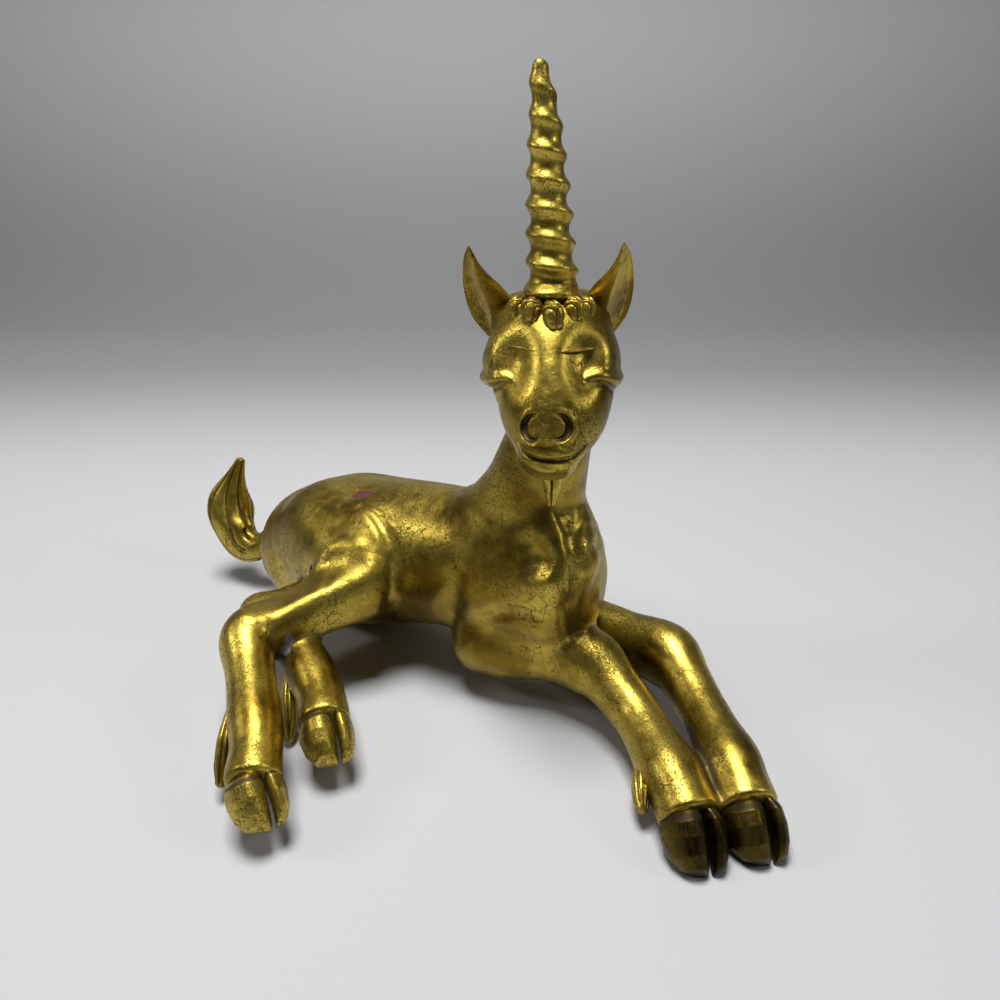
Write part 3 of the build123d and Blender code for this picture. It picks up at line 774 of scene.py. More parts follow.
# Swellings and hollows of the head: share along, millimetres left and up, radii, seam, and whether hollow
CROWN = (0.33, 0.5, 10, (15, 16, 11.5), 8)
POLL = (0.21, 13, 8.5, (7, 7, 7), 6)
BROW = (0.46, 16.0, 6.5, (9.2, 6.0, 8.7), 7)
EYE_HOLLOW = (0.61, 12.8, 21.0, (8, 4.5, 6), 8, True)
# Paths over the face: share along, millimetres left and up
LID_LIP = ((0.615, 13.8, 13.8), (0.575, 17.8, 8.4), (0.515, 21.8, 1.8), (0.475, 23.9, -2.0), (0.455, 24.6, -3.4))
LASH_LINE = ((0.655, 12.6, 14.8), (0.635, 16.0, 11.6), (0.600, 20.0, 5.4), (0.56, 23.0, -1.5))
NOSTRIL_RIM = ((0.80, 5.0, 14.6), (0.805, 7.3, 12.9), (0.838, 9.2, 10.0), (0.893, 8.6, 8.8), (0.935, 6.0, 9.3))
NOSTRIL_SLIT = (
    (0.816, 3.9, 13.6), (0.818, 6.3, 12.4), (0.844, 8.0, 10.2), (0.887, 7.5, 9.2), (0.920, 5.2, 10.0),
    (0.917, 3.2, 10.6),
)
SMILE = (
    (0.862, 13.2, 2.6), (0.885, 12.0, 1.6), (0.925, 10.6, 2.6), (0.981, 7.5, 5.6), (0.997, 4.0, 6.2),
    (1.002, 0.7, 6.0), (0.996, -3.0, 6.3), (0.983, -6.1, 6.6), (0.955, -8.6, 6.6), (0.905, -10.0, 4.8),
    (0.880, -11.0, 5.0),
)
LOWER_LIP = ((0.97, -6.0, 3.0), (1.0, -2.5, 2.6), (1.005, 1.5, 2.4), (0.98, 6.5, 1.6))
# Each fold's way, path, radii, seam and lift in millimetres, its spread and its shift to the left
PAIRED_FOLDS = (
    (lay, LID_LIP, (0.6, 1.1, 1.4, 1.7, 1.4), 2.6, -0.3, 1.0, 0.8),
    (press, LASH_LINE, (0.3, 0.9, 1.2, 1.0), 1.2, 0.2, 1.0, 0.8),
    (lay, NOSTRIL_RIM, (0.3, 0.9, 1.1, 1.0, 0.5), 1.0, -0.45, 1.0, 0.3),
    (press, NOSTRIL_SLIT, (0.4, 0.95, 1.25, 1.25, 1.0, 0.5), 0.6, -0.35, 0.94, 0.3),
)
MOUTH_FOLDS = (
    (press, SMILE, (0.3, 0.6, 0.8, 0.9, 1.1, 1.25, 1.1, 0.9, 0.8, 0.6, 0.3), 0.6, -0.25, 1.0, 0.0),
    (lay, LOWER_LIP, (1.2, 2.0, 2.0, 1.2), 2.4, -1.1, 1.0, 0.0),
)


def swell(clay, head, side, shift, along, left, up, radii, seam, hollow=False):
    """Swell or hollow the head at one place."""
    centre = head.at(along, side * left * MM + shift, up * MM)
    lump(clay, centre, (head.axis, head.left, head.up), mm(*radii), seam * MM, hollow)


def face_fold(clay, head, side, way, path, radii, seam, lift, spread, shift):
    """Lay or press one fold of the face, on one side or across its middle."""
    path = head.path([(along, side * left * spread + shift, up) for along, left, up in path])
    way(clay, path, mm(*radii), seam * MM, lift * MM)


def model_head(clay, head):
    """Join skull and lids, swell the brows, roll the lids' lips, and open the nose and mouth."""
    clay.join(("head",), 2 * MM)
    clay.join(("neck",), HEAD_SEAM)
    swell(clay, head, 1, 0.0, *CROWN)
    for side in (-1, 1):
        swell(clay, head, side, 0.0, *POLL)
    clay.smooth(6)
    clay.join(("right_eyelid", "left_eyelid"), 4 * MM)
    for side in (-1, 1):
        swell(clay, head, side, FACE_SHIFT, *BROW)
        swell(clay, head, side, FACE_SHIFT, *EYE_HOLLOW)
    clay.smooth(3)
    for side in (-1, 1):
        for row in PAIRED_FOLDS:
            face_fold(clay, head, side, *row)
    for row in MOUTH_FOLDS:
        face_fold(clay, head, 1, *row)


def mesh_from(name, points, quads, triangles=()):
    """Mesh of the points in the figure's own frame, with quads and triangles."""
    quads = np.asarray(quads, int).reshape(-1, 4)
    triangles = np.asarray(triangles, int).reshape(-1, 3)
    mesh = bpy.data.meshes.new(name)
    mesh.vertices.add(len(points))
    mesh.vertices.foreach_set("co", (points + TO_OWN_FRAME).astype(np.float32).ravel())
    corners = np.concatenate([quads.ravel(), triangles.ravel()])
    starts = np.concatenate([np.arange(len(quads)) * 4, quads.size + np.arange(len(triangles)) * 3])
    mesh.loops.add(len(corners))
    mesh.loops.foreach_set("vertex_index", corners.astype(np.int32))
    mesh.polygons.add(len(starts))
    mesh.polygons.foreach_set("loop_start", starts.astype(np.int32))
    mesh.polygons.foreach_set("use_smooth", np.ones(len(starts), bool))
    mesh.update(calc_edges=True)
    return mesh


def mark(mesh, name, values):
    """Store one number for each point of a mesh."""
    layer = mesh.attributes.new(name, "FLOAT", "POINT")
    layer.data.foreach_set("value", np.asarray(values, np.float32))


def add_piece(mesh, nodes, material):
    """Put a mesh into the scene as a piece that stands for CAD nodes."""
    piece = bpy.data.objects.new(mesh.name, mesh)
    bpy.context.scene.collection.objects.link(piece)
    mesh.materials.append(material)
    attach(piece, BODY)
    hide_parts(*nodes)


def close_holes(mesh):
    """Close every open edge loop with a fan that sinks inwards, so that the piece is a closed shell."""
    shell = bmesh.new()
    shell.from_mesh(mesh)
    open_edges = [edge for edge in shell.edges if edge.is_boundary]
    lids = bmesh.ops.holes_fill(shell, edges=open_edges, sides=0)["faces"]
    for middle in bmesh.ops.poke(shell, faces=lids)["verts"]:
        rim = [edge.other_vert(middle) for edge in middle.link_edges]
        outward = sum((vert.normal for vert in rim), Vector()) / len(rim)
        middle.co -= outward * LID_SINK
    for face in shell.faces:
        face.smooth = True
    shell.to_mesh(mesh)
    shell.free()
    mesh.update()


def closeness(clay, points, normals, reach):
    """How much sooner than at the reach the skin is met again: outside it, or inside if negative."""
    found = np.minimum(np.sign(reach) * clay.sample(points + normals * reach), abs(reach))
    return np.clip(1 - found / abs(reach), 0, 1)


class Skin:
    """The clay's skin, ready to be parted into pieces that share their seam points."""

    def __init__(self, clay):
        self.points, self.quads, self.normals = clay.skin()
        # The crevice mark measures how soon the skin is met again outside each point, an occlusion measure; the
        # gilding darkens those places with patina and painted shade.
        near, far, sharp = (closeness(clay, self.points, self.normals, reach * MM) for reach in (2.5, 6, -4))
        self.crevice_shade_and_patina = np.clip(1.2 * near + 0.45 * far - 0.15, 0, 1)
        self.wear = np.clip(1.6 * sharp, 0, 1)
        self.middles = self.points[self.quads].mean(axis=1)

    def owners(self, clay, limbs, handicaps=0.0):
        """Index of the limb nearest to each face, with a handicap added to each distance."""
        shares = np.stack([clay.sample(self.middles, *clay.limbs[name]) for name in limbs], axis=1)
        return (shares + np.float32(handicaps)).argmin(axis=1)

    def piece(self, name, keep):
        """Mesh of the kept quads, closed at its seams, with the whole skin's normals."""
        quads = self.quads[keep]
        used, places = np.unique(quads.ravel(), return_inverse=True)
        mesh = mesh_from(name, self.points[used], places.reshape(-1, 4))
        mark(mesh, "crevice_shade_and_patina", self.crevice_shade_and_patina[used])
        mark(mesh, "wear", self.wear[used])
        close_holes(mesh)
        normals = np.zeros(len(mesh.vertices) * 3, np.float32)
        mesh.vertices.foreach_get("normal", normals)
        normals = normals.reshape(-1, 3)
        normals[: len(used)] = self.normals[used]
        mesh.normals_split_custom_set_from_vertices(normals)
        return mesh


def ring_faces(rows, columns):
    """Quads of a closed sleeve of points, and the triangles that close its two ends."""
    row, column = np.meshgrid(np.arange(rows - 1), np.arange(columns), indexing="ij")
    here, beside = row * columns + column, row * columns + (column + 1) % columns
    quads = np.stack([here, beside, beside + columns, here + columns], axis=-1).reshape(-1, 4)
    around = np.arange(columns)
    following = (around + 1) % columns
    first, last = rows * columns, rows * columns + 1
    top = (rows - 1) * columns
    start = np.stack([np.full(columns, first), following, around], axis=1)
    end = np.stack([np.full(columns, last), top + around, top + following], axis=1)
    return quads, np.concatenate([start, end])


def sleeve_mesh(name, *sleeves):
    """Closed mesh of one or more grids of points whose rows are rings, each with its marks."""
    points, quads, triangles, marks = [], [], [], {}
    base = 0
    for grid, values in sleeves:
        rows, columns = grid.shape[:2]
        points.append(np.concatenate([grid.reshape(-1, 3), end_middles(grid)]))
        sleeve_quads, sleeve_triangles = ring_faces(rows, columns)
        quads.append(sleeve_quads + base)
        triangles.append(sleeve_triangles + base)
        for key, value in values.items():
            value = np.broadcast_to(value, (rows, columns))
            marks.setdefault(key, []).append(np.concatenate([value.ravel(), end_middles(value)]))
        base += rows * columns + 2
    mesh = mesh_from(name, np.concatenate(points), np.concatenate(quads), np.concatenate(triangles))
    for key, values in marks.items():
        mark(mesh, key, np.concatenate(values))
    return mesh


def end_middles(rows):
    """Middles of the first and the last ring, where the ends are closed."""
    return np.stack([rows[0].mean(axis=0), rows[-1].mean(axis=0)])


def lock_surface(tube, strands, twist, groove, columns=96, lobes=0.0):
    """Lock of hair: a tube whose radius dips by the groove between each two strands.

    At angle v and share u of the length the dip is 1 - |sin((strands v + twist u) / 2)| to
    the power 2.2, so the strands are round and the lines between them narrow. The twist
    also wavers, and lobes swell the radius in slow waves along the lock.
    """
    rows = len(tube.centres)
    u = np.linspace(0, 1, rows)[:, None]
    v = np.linspace(0, 2 * np.pi, columns, endpoint=False)[None, :]
    phase = strands * v + twist * u + 0.9 * min(twist, 1) * np.sin(2.3 * twist * u + v)
    dip = (1 - np.abs(np.sin(phase / 2))) ** 2.2
    swell = 1 + lobes * np.sin(3.4 * twist * u + 2 * v) * np.sin(np.pi * u)
    wide, deep = tube.girths[:, :1] * swell, tube.girths[:, 1:] * swell
    depth = np.minimum(groove, 0.45 * np.minimum(wide, deep)) * dip
    across = (wide - depth) * np.cos(v)
    rise = (deep - depth) * np.sin(v)
    points = (
        tube.centres[:, None]
        + across[..., None] * tube.across[:, None]
        + rise[..., None] * tube.rise[:, None]
    )
    # The grooves between the strands are marked to be darkened with patina and painted shade.
    return points, {"crevice_shade_and_patina": np.clip(0.9 * dip, 0, 1), "wear": np.clip(0.7 * (1 - dip) ** 2, 0, 1)}


HORN_HEADING, HORN_RISE = 166, 84
HORN_STOPS = (-0.02, 0, 0.2, 0.45, 0.7, 0.9, 1.0)
HORN_TAPER = (1.02, 1.0, 0.88, 0.76, 0.62, 0.40, 0.25)
HORN_WOBBLE, HORN_LIP, HORN_LEAN = 0.16 * MM, 1.1 * MM, 1.2 * MM


def horn_surface(h, head):
    """Horn: rings round a leaning axis with one left-handed ridge.

    The radius at angle v and rise u is the taper there plus the ridge height times
    ((1 + cos(v + turns u)) / 2) to the power 1.15, less about half of it. A lip runs round
    the foot, and the tip leans to the right.
    """
    u = np.linspace(HORN_STOPS[0], 1, 260)[:, None]
    v = np.linspace(0, 2 * np.pi, 96, endpoint=False)[None, :]
    taper = np.interp(u, HORN_STOPS, HORN_TAPER)
    turns = 2 * np.pi * h.horn_length / h.horn_pitch
    crest = ((1 + np.cos(v + turns * u + 0.25 * np.sin(v + turns * u))) / 2) ** 1.15
    ridge = h.horn_ridge * 2 * taper * (crest - 0.55)
    ridge = ridge + HORN_WOBBLE * np.sin(3 * v + 40 * u) * taper
    radius = h.horn_base_width / 2 * taper + ridge
    lip = np.exp(-(((u - 0.045 - 0.012 * np.cos(v)) / 0.026) ** 2))
    radius = radius + HORN_LIP * lip
    end = np.clip((u - 0.965) / 0.035, 0, 1)
    radius = radius * np.sqrt(np.clip(1 - end**2, 0.0004, 1))
    axis = bearing(HORN_HEADING, HORN_RISE)
    side = unit(head.left - axis * (head.left @ axis))
    front = np.cross(axis, side)
    root = head.at(0.22, 0.04 * h.skull_width, 0.40 * h.skull_depth)
    lean = HORN_LEAN * np.clip(u - 0.8, 0, 1) / 0.2
    points = (
        root
        + (u * h.horn_length)[..., None] * axis
        + (radius * np.cos(v))[..., None] * side
        + (radius * np.sin(v))[..., None] * front
        - lean[..., None] * side
    )
    # Painted shade: a dark line along the underside of each ridge, and the grooves and the foot of the horn darkened
    # with patina and painted shade.
    under = ((1 + np.cos(v + turns * u + 2.1)) / 2) ** 3
    foot = np.exp(-(np.clip(u, 0, 1) / 0.018) ** 2)
    crevice_shade_and_patina = np.clip(0.30 * under + 0.10 * (1 - crest) ** 2 + 0.8 * foot, 0, 1)
    return points, {"crevice_shade_and_patina": crevice_shade_and_patina, "wear": np.clip(crest**3, 0, 1)}


EAR_RISES = (-0.12, 0.12, 0.3, 0.48, 0.64, 0.76, 0.88, 1.0)
EAR_OUTER = (
    (0.18, 20.5, -9.0), (0.18, 24.2, -3.0), (0.18, 28.0, 5.0), (0.18, 29.4, 13.0),
    (0.18, 29.6, 21.5), (0.18, 28.9, 28.4), (0.185, 27.8, 35.0), (0.20, 25.3, 42.0),
)
EAR_RIDGE = (
    (0.22, 19.6, -2.5), (0.225, 19.8, 4.0), (0.23, 20.3, 11.5), (0.235, 21.6, 20.5),
    (0.235, 22.8, 26.8), (0.23, 23.9, 32.3), (0.22, 24.5, 37.6), (0.205, 24.8, 42.6),
)
EAR_INNER = (
    (0.20, 8.0, 4.5), (0.20, 9.4, 9.5), (0.195, 11.5, 16.0), (0.19, 15.4, 23.0),
    (0.19, 17.4, 25.6), (0.19, 20.2, 29.4), (0.19, 22.8, 34.8), (0.20, 24.2, 41.8),
)
# The three arcs of an ear's ring: how far each is pulled along the face, and its count of points
EAR_PULLS, EAR_COUNTS = (3.4 * MM, -6.0 * MM, -12.5 * MM), (34, 40, 40)


def arc_between(first, last, pull, count):
    """Quadratic arcs from one row of points to another, pulled off the straight line."""
    t = np.linspace(0, 1, count, endpoint=False)[None, :, None]
    control = (first + last) / 2 + pull
    return (1 - t) ** 2 * first[:, None] + 2 * t * (1 - t) * control[:, None] + t * t * last[:, None]


def ear_surface(h, head, side):
    """Ear: a leaf folded along a ridge, smooth towards the horn and hollow on its outer side.

    Each ring is three quadratic arcs: from the inner edge over the smooth front to the
    ridge, from the ridge through the cup to the outer edge, and back behind the ear. A
    running mean rounds the two edges, and the rings close to the tip.
    """
    share = h.ear_length / (34 * MM)
    u = np.linspace(EAR_RISES[0], 1, 130)
    edges = []
    for table in (EAR_OUTER, EAR_RIDGE, EAR_INNER):
        rows = np.array(table)
        rows = np.stack([np.interp(u, EAR_RISES, column) for column in rows.T], axis=1)
        rows = soften(rows, 5)
        points = head.back + rows[:, :1] * head.length * head.axis
        edges.append(points + rows[:, 1:2] * MM * side * head.left + rows[:, 2:] * share * MM * head.up)
    outer, ridge, inner = edges
    front = unit(0.62 * head.axis + 0.79 * head.up)
    swell = np.sin(np.pi * np.clip(0.12 + 0.88 * u, 0, 1))[:, None] ** 0.7
    sides = ((inner, ridge), (ridge, outer), (outer, inner))
    pulls = [front * pull * swell for pull in EAR_PULLS]
    arcs = [arc_between(*side, pull, count) for side, pull, count in zip(sides, pulls, EAR_COUNTS)]
    rings = np.concatenate(arcs, axis=1)
    v = np.arange(rings.shape[1])
    hollow = np.exp(-(((v - 54) / 15.0) ** 2))[None, :] * np.clip(1.15 - 0.35 * u[:, None], 0, 1)
    veins = np.sin(v * 1.1 + 4 * u[:, None]) * hollow
    rings = rings - (0.28 * MM * np.clip(veins, 0, 1))[..., None] * front
    for _ in range(6):
        rings = 0.5 * rings + 0.25 * (np.roll(rings, 1, axis=1) + np.roll(rings, -1, axis=1))
    middle = rings.mean(axis=1, keepdims=True)
    close = np.sqrt(np.clip(1 - np.clip((u - 0.93) / 0.075, 0, 1) ** 2, 0.0, 1))[:, None, None]
    rings = middle + (rings - middle) * close
    # The cup and the lines in it are marked to be darkened with patina and painted shade.
    crevice_shade_and_patina = np.clip(0.42 * hollow + 0.3 * np.clip(veins, 0, 1), 0, 1)
    marks = {"crevice_shade_and_patina": crevice_shade_and_patina, "wear": 0.4 * (1 - hollow)}
    if side < 0:
        rings = rings[:, ::-1]
        marks = {key: value[:, ::-1] for key, value in marks.items()}
    return rings, marks


# Rows of place along the lock and the shares of its width and depth
CURL_GIRTHS = ((0.0, 0.9, 0.8), (0.7, 1.2, 1.1), (1.4, 1.2, 1.05), (2.0, 0.9, 0.7))
TUFT_GIRTHS = ((0.0, 0.4, 0.4), (0.35, 0.7, 0.8), (1.0, 1.0, 1.0), (1.6, 0.9, 0.8), (1.9, 0.5, 0.4))
PLUME_GIRTHS = ((4.0, 0.86, 1.0), (5.0, 1.0, 1.0), (6.0, 0.82, 0.84), (7.0, 0.44, 0.54), (7.9, 0.16, 0.22))
CURL_CAPS = (1.6 * MM, 1.8 * MM)
# Rows of place along the beard, its width and its depth; then the rise of each half and its shift to the left
BEARD_GIRTHS = ((0.0, 8 * MM, 11 * MM), (0.7, 8 * MM, 11 * MM), (1.3, 6 * MM, 7.6 * MM), (1.85, 3.0 * MM, 3.0 * MM))
BEARD_RISES, BEARD_SHIFT = (-70, -88), 1.6 * MM
# Rows of share along the head, then millimetres to its left and up; and each curl's size
CURLS = (
    (((0.250, -9.4, 20.0), (0.290, -10.8, 22.2), (0.330, -10.4, 20.8)), 1.05),
    (((0.300, -4.6, 22.6), (0.340, -5.2, 25.0), (0.385, -5.2, 23.2)), 1.26),
    (((0.330, 1.6, 23.6), (0.380, 2.3, 25.7), (0.432, 2.8, 23.2)), 1.30),
    (((0.285, 8.2, 21.6), (0.325, 9.2, 23.8), (0.372, 9.6, 22.0)), 1.24),
    (((0.240, 12.6, 18.4), (0.280, 13.8, 20.6), (0.320, 13.6, 19.2)), 1.05),
)


CLEFT = 0.34
HOOF_GOLD = {"fore": 0.14, "hind": 1.0}
CLAW_STOPS = (-0.10, 0.0, 0.08, 0.35, 0.65, 0.88, 1.0)
CLAW_WIDTHS = (0.80, 0.93, 0.99, 1.04, 1.02, 0.94, 0.84)
CLAW_DEPTHS = (0.80, 0.90, 0.97, 0.98, 0.80, 0.52, 0.24)
CLAW_SLOPES = (1.0, 1.0, 1.0, 0.97, 0.86, 0.64, 0.40)


def claw_surface(joints, width, low, high):
    """One claw of a cloven hoof, from the coronet down to the toe.

    Rings are rounded boxes between two shares of the hoof's width; height and width
    follow the hoof's taper, the outer edge slopes in to a toe beside the cleft, and the
    underside is held above the table.
    """
    u = np.linspace(-0.10, 1, 90)[:, None]
    v = np.linspace(0, 2 * np.pi, 120, endpoint=False)[None, :]
    start, end = joints[-2], joints[-1]
    along = end - start
    tangent = unit(along)
    across = unit(np.cross(UPWARD, tangent))
    rise = np.cross(tangent, across)
    wide = np.interp(u, CLAW_STOPS, CLAW_WIDTHS) * width / 2
    deep = np.interp(u, CLAW_STOPS, CLAW_DEPTHS) * width / 2
    close = np.sqrt(np.clip(1 - np.clip((u - 0.86) / 0.14, 0, 1) ** 2, 0.001, 1))
    parting = 0.02 + 0.06 * np.clip(u, 0, 1) ** 1.6
    slope = np.interp(u, CLAW_STOPS, CLAW_SLOPES)
    left = (low + parting if low > -1 else low * slope) * wide
    right = (high - parting if high < 1 else high * slope**0.35) * wide
    half = (right - left) / 2 * close
    middle = left + half if low > -1 else right - half
    cosine, sine = np.cos(v), np.sin(v)
    x = middle + half * np.sign(cosine) * np.abs(cosine) ** 0.82
    round_off = np.sqrt(np.clip(1 - (x / (1.06 * wide)) ** 2, 0.03, 1))
    streak = np.sin(19 * v + 2.0 * np.sin(5 * v + 3 * u)) * np.sin(31 * v - 2 * u)
    streak = np.clip(streak, 0, 1) * np.clip(u / 0.15, 0, 1)
    y = deep * close * round_off * np.sign(sine) * np.abs(sine) ** 0.82
    pressed = 1 - 0.012 * streak
    points = start + u[..., None] * along + (x * pressed)[..., None] * across + (y * pressed)[..., None] * rise
    points[..., 2] = np.maximum(points[..., 2], 0)
    # The coronet's crease, the pressed streaks and all but the outer side are marked to be darkened with patina and
    # painted shade.
    ring = np.exp(-(((u - 0.01) / 0.05) ** 2))
    outer = np.clip(-cosine if low < 0 else cosine, 0, 1) ** 3
    crevice_shade_and_patina = np.clip(0.75 * ring + 0.35 * streak + 0.3 * (1 - outer), 0, 1)
    wear = np.clip(outer + np.clip((u - 0.8) * 2, 0, 1), 0, 1) * (1 - 0.5 * streak)
    return points, {"crevice_shade_and_patina": crevice_shade_and_patina, "wear": wear}


BOLE_CHIPS = (
    (-86.8, -12.4, 73.7, 3.6),
    (-83.2, -10.6, 74.2, 2.2),
    (-88.1, -0.7, 76.4, 0.9),
    (-81.5, -4.0, 76.0, 0.5),
    (-46.5, -122.6, 6.0, 1.6),
    (-43.6, -122.4, 3.2, 1.6),
    (-41.0, -122.6, 1.2, 1.4),
)
FILLER_SPOTS = ((-75.9, -73.1, 31.9, 2.0), (-75.1, -71.2, 35.9, 2.2), (-63.6, -82.6, 21.5, 1.6))


class Paint:
    """A node material being put together, one named step at a time."""

    def __init__(self, name):
        self.material = bpy.data.materials.new(name)
        self.material.use_nodes = True
        self.tree = self.material.node_tree
        self.tree.nodes.clear()
        self.place = self.node("ShaderNodeTexCoord").outputs["Object"]

    def node(self, kind, links=None, **settings):
        """New node with plain settings, and values or links for its inputs."""
        node = self.tree.nodes.new(kind)
        for key, value in settings.items():
            setattr(node, key, value)
        for key, value in (links or {}).items():
            if isinstance(value, bpy.types.NodeSocket):
                self.tree.links.new(value, node.inputs[key])
            else:
                node.inputs[key].default_value = value
        return node

    def noise(self, scale, detail, rough):
        """Soft noise on the piece's own coordinates."""
        links = {"Vector": self.place, "Scale": scale, "Detail": detail, "Roughness": rough}
        return self.node("ShaderNodeTexNoise", links).outputs["Fac"]

    def patchy(self, noise, rise):
        """Noise that rises between two of its values, as a row of the tables below gives it."""
        return self.step(self.noise(*noise), *rise)

    def step(self, value, low, high, to_low=0.0, to_high=1.0):
        """Value mapped from one range to another with a smooth ease and clamped ends."""
        links = {"Value": value, "From Min": low, "From Max": high, "To Min": to_low, "To Max": to_high}
        return self.node("ShaderNodeMapRange", links, interpolation_type="SMOOTHSTEP").outputs["Result"]

    def math(self, operation, first, second):
        """Sum, product or other function of two values."""
        return self.node("ShaderNodeMath", {0: first, 1: second}, operation=operation).outputs[0]

    def times(self, first, second):
        """Product of two values."""
        return self.math("MULTIPLY", first, second)

    def plus(self, first, second):
        """Sum of two values."""
        return self.math("ADD", first, second)

    def less(self, first, second):
        """First value less the second."""
        return self.math("SUBTRACT", first, second)

    def larger(self, first, second):
        """Larger of two values."""
        return self.math("MAXIMUM", first, second)

    def mix(self, share, first, second):
        """Colour between two colours."""
        node = self.node("ShaderNodeMix", {0: share}, data_type="RGBA")
        for index, value in ((6, first), (7, second)):
            if isinstance(value, bpy.types.NodeSocket):
                self.tree.links.new(value, node.inputs[index])
            else:
                node.inputs[index].default_value = (*value, 1)
        return node.outputs[2]

    def vector(self, operation, first, second=(0.0, 0.0, 0.0)):
        """Number worked out from two vectors."""
        return self.node("ShaderNodeVectorMath", {0: first, 1: second}, operation=operation).outputs["Value"]

    def mark(self, name):
        """Value stored at the mesh's points."""
        return self.node("ShaderNodeAttribute", attribute_name=name).outputs["Fac"]

    def finish(self, surface):
        """The material, with its surface's inputs linked up."""
        shader = self.node("ShaderNodeBsdfPrincipled", surface)
        output = self.node("ShaderNodeOutputMaterial")
        self.tree.links.new(shader.outputs[0], output.inputs["Surface"])
        return self.material


# Noise rows: scale, detail and roughness, then where it rises from and to, and, for some, its two ends.
LEAF_CLOUDS = ((34, 4, 0.6), (0.34, 0.62))
FLECK_PATCHES = ((30, 3, 0.62), (0.40, 0.60, 0.22, 1.0))
FLECKS = ((1500, 2, 0.75), (0.525, 0.60))
BLOT_PATCHES = ((48, 3, 0.6), (0.5, 0.60))
BLOTS = ((520, 4, 0.75), (0.60, 0.645))
CRACK_PATCHES = ((70, 3, 0.6), (0.52, 0.60))
LEAF_ROUGHNESS = ((220, 3, 0.6), (0.3, 0.7, 0.29, 0.40))
HOLLOW_TEAR, HOLLOW_TEAR_REACH = (260, 5, 0.7), 1.1
SPOT_TEAR = (420, 4, 0.7)
GRIT, GRIT_HEIGHT = (1100, 3, 0.7), 0.42
WAVES, WAVE_HEIGHT = (300, 3, 0.55), 1.1
CRACK_CELLS, CRACK_WIDTH = 190, 0.055
CRACK_WANDER_SCALE, CRACK_WANDER = 160, 0.009
HOLLOW_RISE = (0.22, 0.85, 0.0, 0.88)
FLECK_SHADE, BLOT_SHADE, SHADE_ROUGHNESS = 0.85, 0.8, 0.22
WEAR_SHARE, HOLLOW_DULLNESS, BARE_ROUGHNESS = 0.35, 0.35, 0.75
CHIP_DEPTH, RELIEF = 0.3, 0.16 * MM
CHIP_TEAR, FILLER_TEAR, SPOT_EDGE = 6 * MM, 5 * MM, 0.25


def spots(paint, places, tear):
    """Ragged spots round fixed places: one inside each place's radius, nought outside."""
    torn = paint.times(paint.less(paint.noise(*SPOT_TEAR), 0.5), tear)
    found = None
    for *centre, radius in places:
        away = paint.vector("DISTANCE", paint.place, tuple(np.array(centre) * MM + TO_OWN_FRAME))
        spot = paint.step(paint.plus(away, torn), radius * MM, (radius + SPOT_EDGE) * MM, 1.0, 0.0)
        found = spot if found is None else paint.larger(found, spot)
    return found


def crackle(paint):
    """Crack lines: the edges of cells bent by a wandering noise, in patches."""
    links = {"Vector": paint.place, "Scale": CRACK_WANDER_SCALE, "Detail": 4}
    wander = paint.node("ShaderNodeTexNoise", links).outputs["Color"]
    links = {0: wander, 1: (CRACK_WANDER,) * 3, 2: paint.place}
    bent = paint.node("ShaderNodeVectorMath", links, operation="MULTIPLY_ADD").outputs[0]
    links = {"Vector": bent, "Scale": CRACK_CELLS, "Randomness": 1.0}
    edge = paint.node("ShaderNodeTexVoronoi", links, feature="DISTANCE_TO_EDGE").outputs["Distance"]
    return paint.times(paint.step(edge, 0.0, CRACK_WIDTH, 1.0, 0.0), paint.patchy(*CRACK_PATCHES))


def gilding(name, tones, strength=1.0):
    """Satin gold leaf over dark size: speckled, crackled, dark in the hollows with patina and painted shade, chipped
    to the bole.
    """
    bright, deep, patina_and_shade, bole, filler = (tuple(tone) for tone in tones)
    deep = tuple(strength * part for part in deep)
    bright = tuple(strength**0.7 * part for part in bright)
    paint = Paint(name)
    crevice_shade_and_patina, wear = paint.mark("crevice_shade_and_patina"), paint.mark("wear")
    flecks = paint.times(paint.patchy(*FLECKS), paint.patchy(*FLECK_PATCHES))
    blots = paint.times(paint.patchy(*BLOTS), paint.patchy(*BLOT_PATCHES))
    # The hollows mask darkens the leaf to the patina colour: partly the real patina of the hollows, partly painted
    # shade in creases, under parts and between parts.
    torn = paint.times(paint.less(paint.noise(*HOLLOW_TEAR), 0.5), HOLLOW_TEAR_REACH)
    hollow = paint.step(paint.plus(crevice_shade_and_patina, torn), *HOLLOW_RISE)
    gold = paint.mix(paint.patchy(*LEAF_CLOUDS), deep, bright)
    gold = paint.mix(paint.times(wear, WEAR_SHARE), gold, bright)
    lines = paint.times(paint.larger(crackle(paint), blots), BLOT_SHADE)
    dark = paint.larger(paint.times(flecks, FLECK_SHADE), lines)
    shade = paint.larger(hollow, dark)
    chips = spots(paint, BOLE_CHIPS, CHIP_TEAR)
    fills = spots(paint, FILLER_SPOTS, FILLER_TEAR)
    gold = paint.mix(fills, paint.mix(chips, paint.mix(shade, gold, patina_and_shade), bole), filler)
    bare = paint.larger(chips, fills)
    rough = paint.plus(paint.patchy(*LEAF_ROUGHNESS), paint.times(shade, SHADE_ROUGHNESS))
    rough = paint.larger(rough, paint.times(bare, BARE_ROUGHNESS))
    metal = paint.less(1.0, paint.larger(bare, paint.times(hollow, HOLLOW_DULLNESS)))
    grain = paint.plus(paint.times(paint.noise(*GRIT), GRIT_HEIGHT), paint.times(paint.noise(*WAVES), WAVE_HEIGHT))
    relief = paint.less(grain, paint.times(paint.larger(dark, bare), CHIP_DEPTH))
    bump = paint.node("ShaderNodeBump", {"Height": relief, "Strength": 1.0, "Distance": RELIEF})
    return paint.finish({"Base Color": gold, "Roughness": rough, "Metallic": metal, "Normal": bump.outputs["Normal"]})


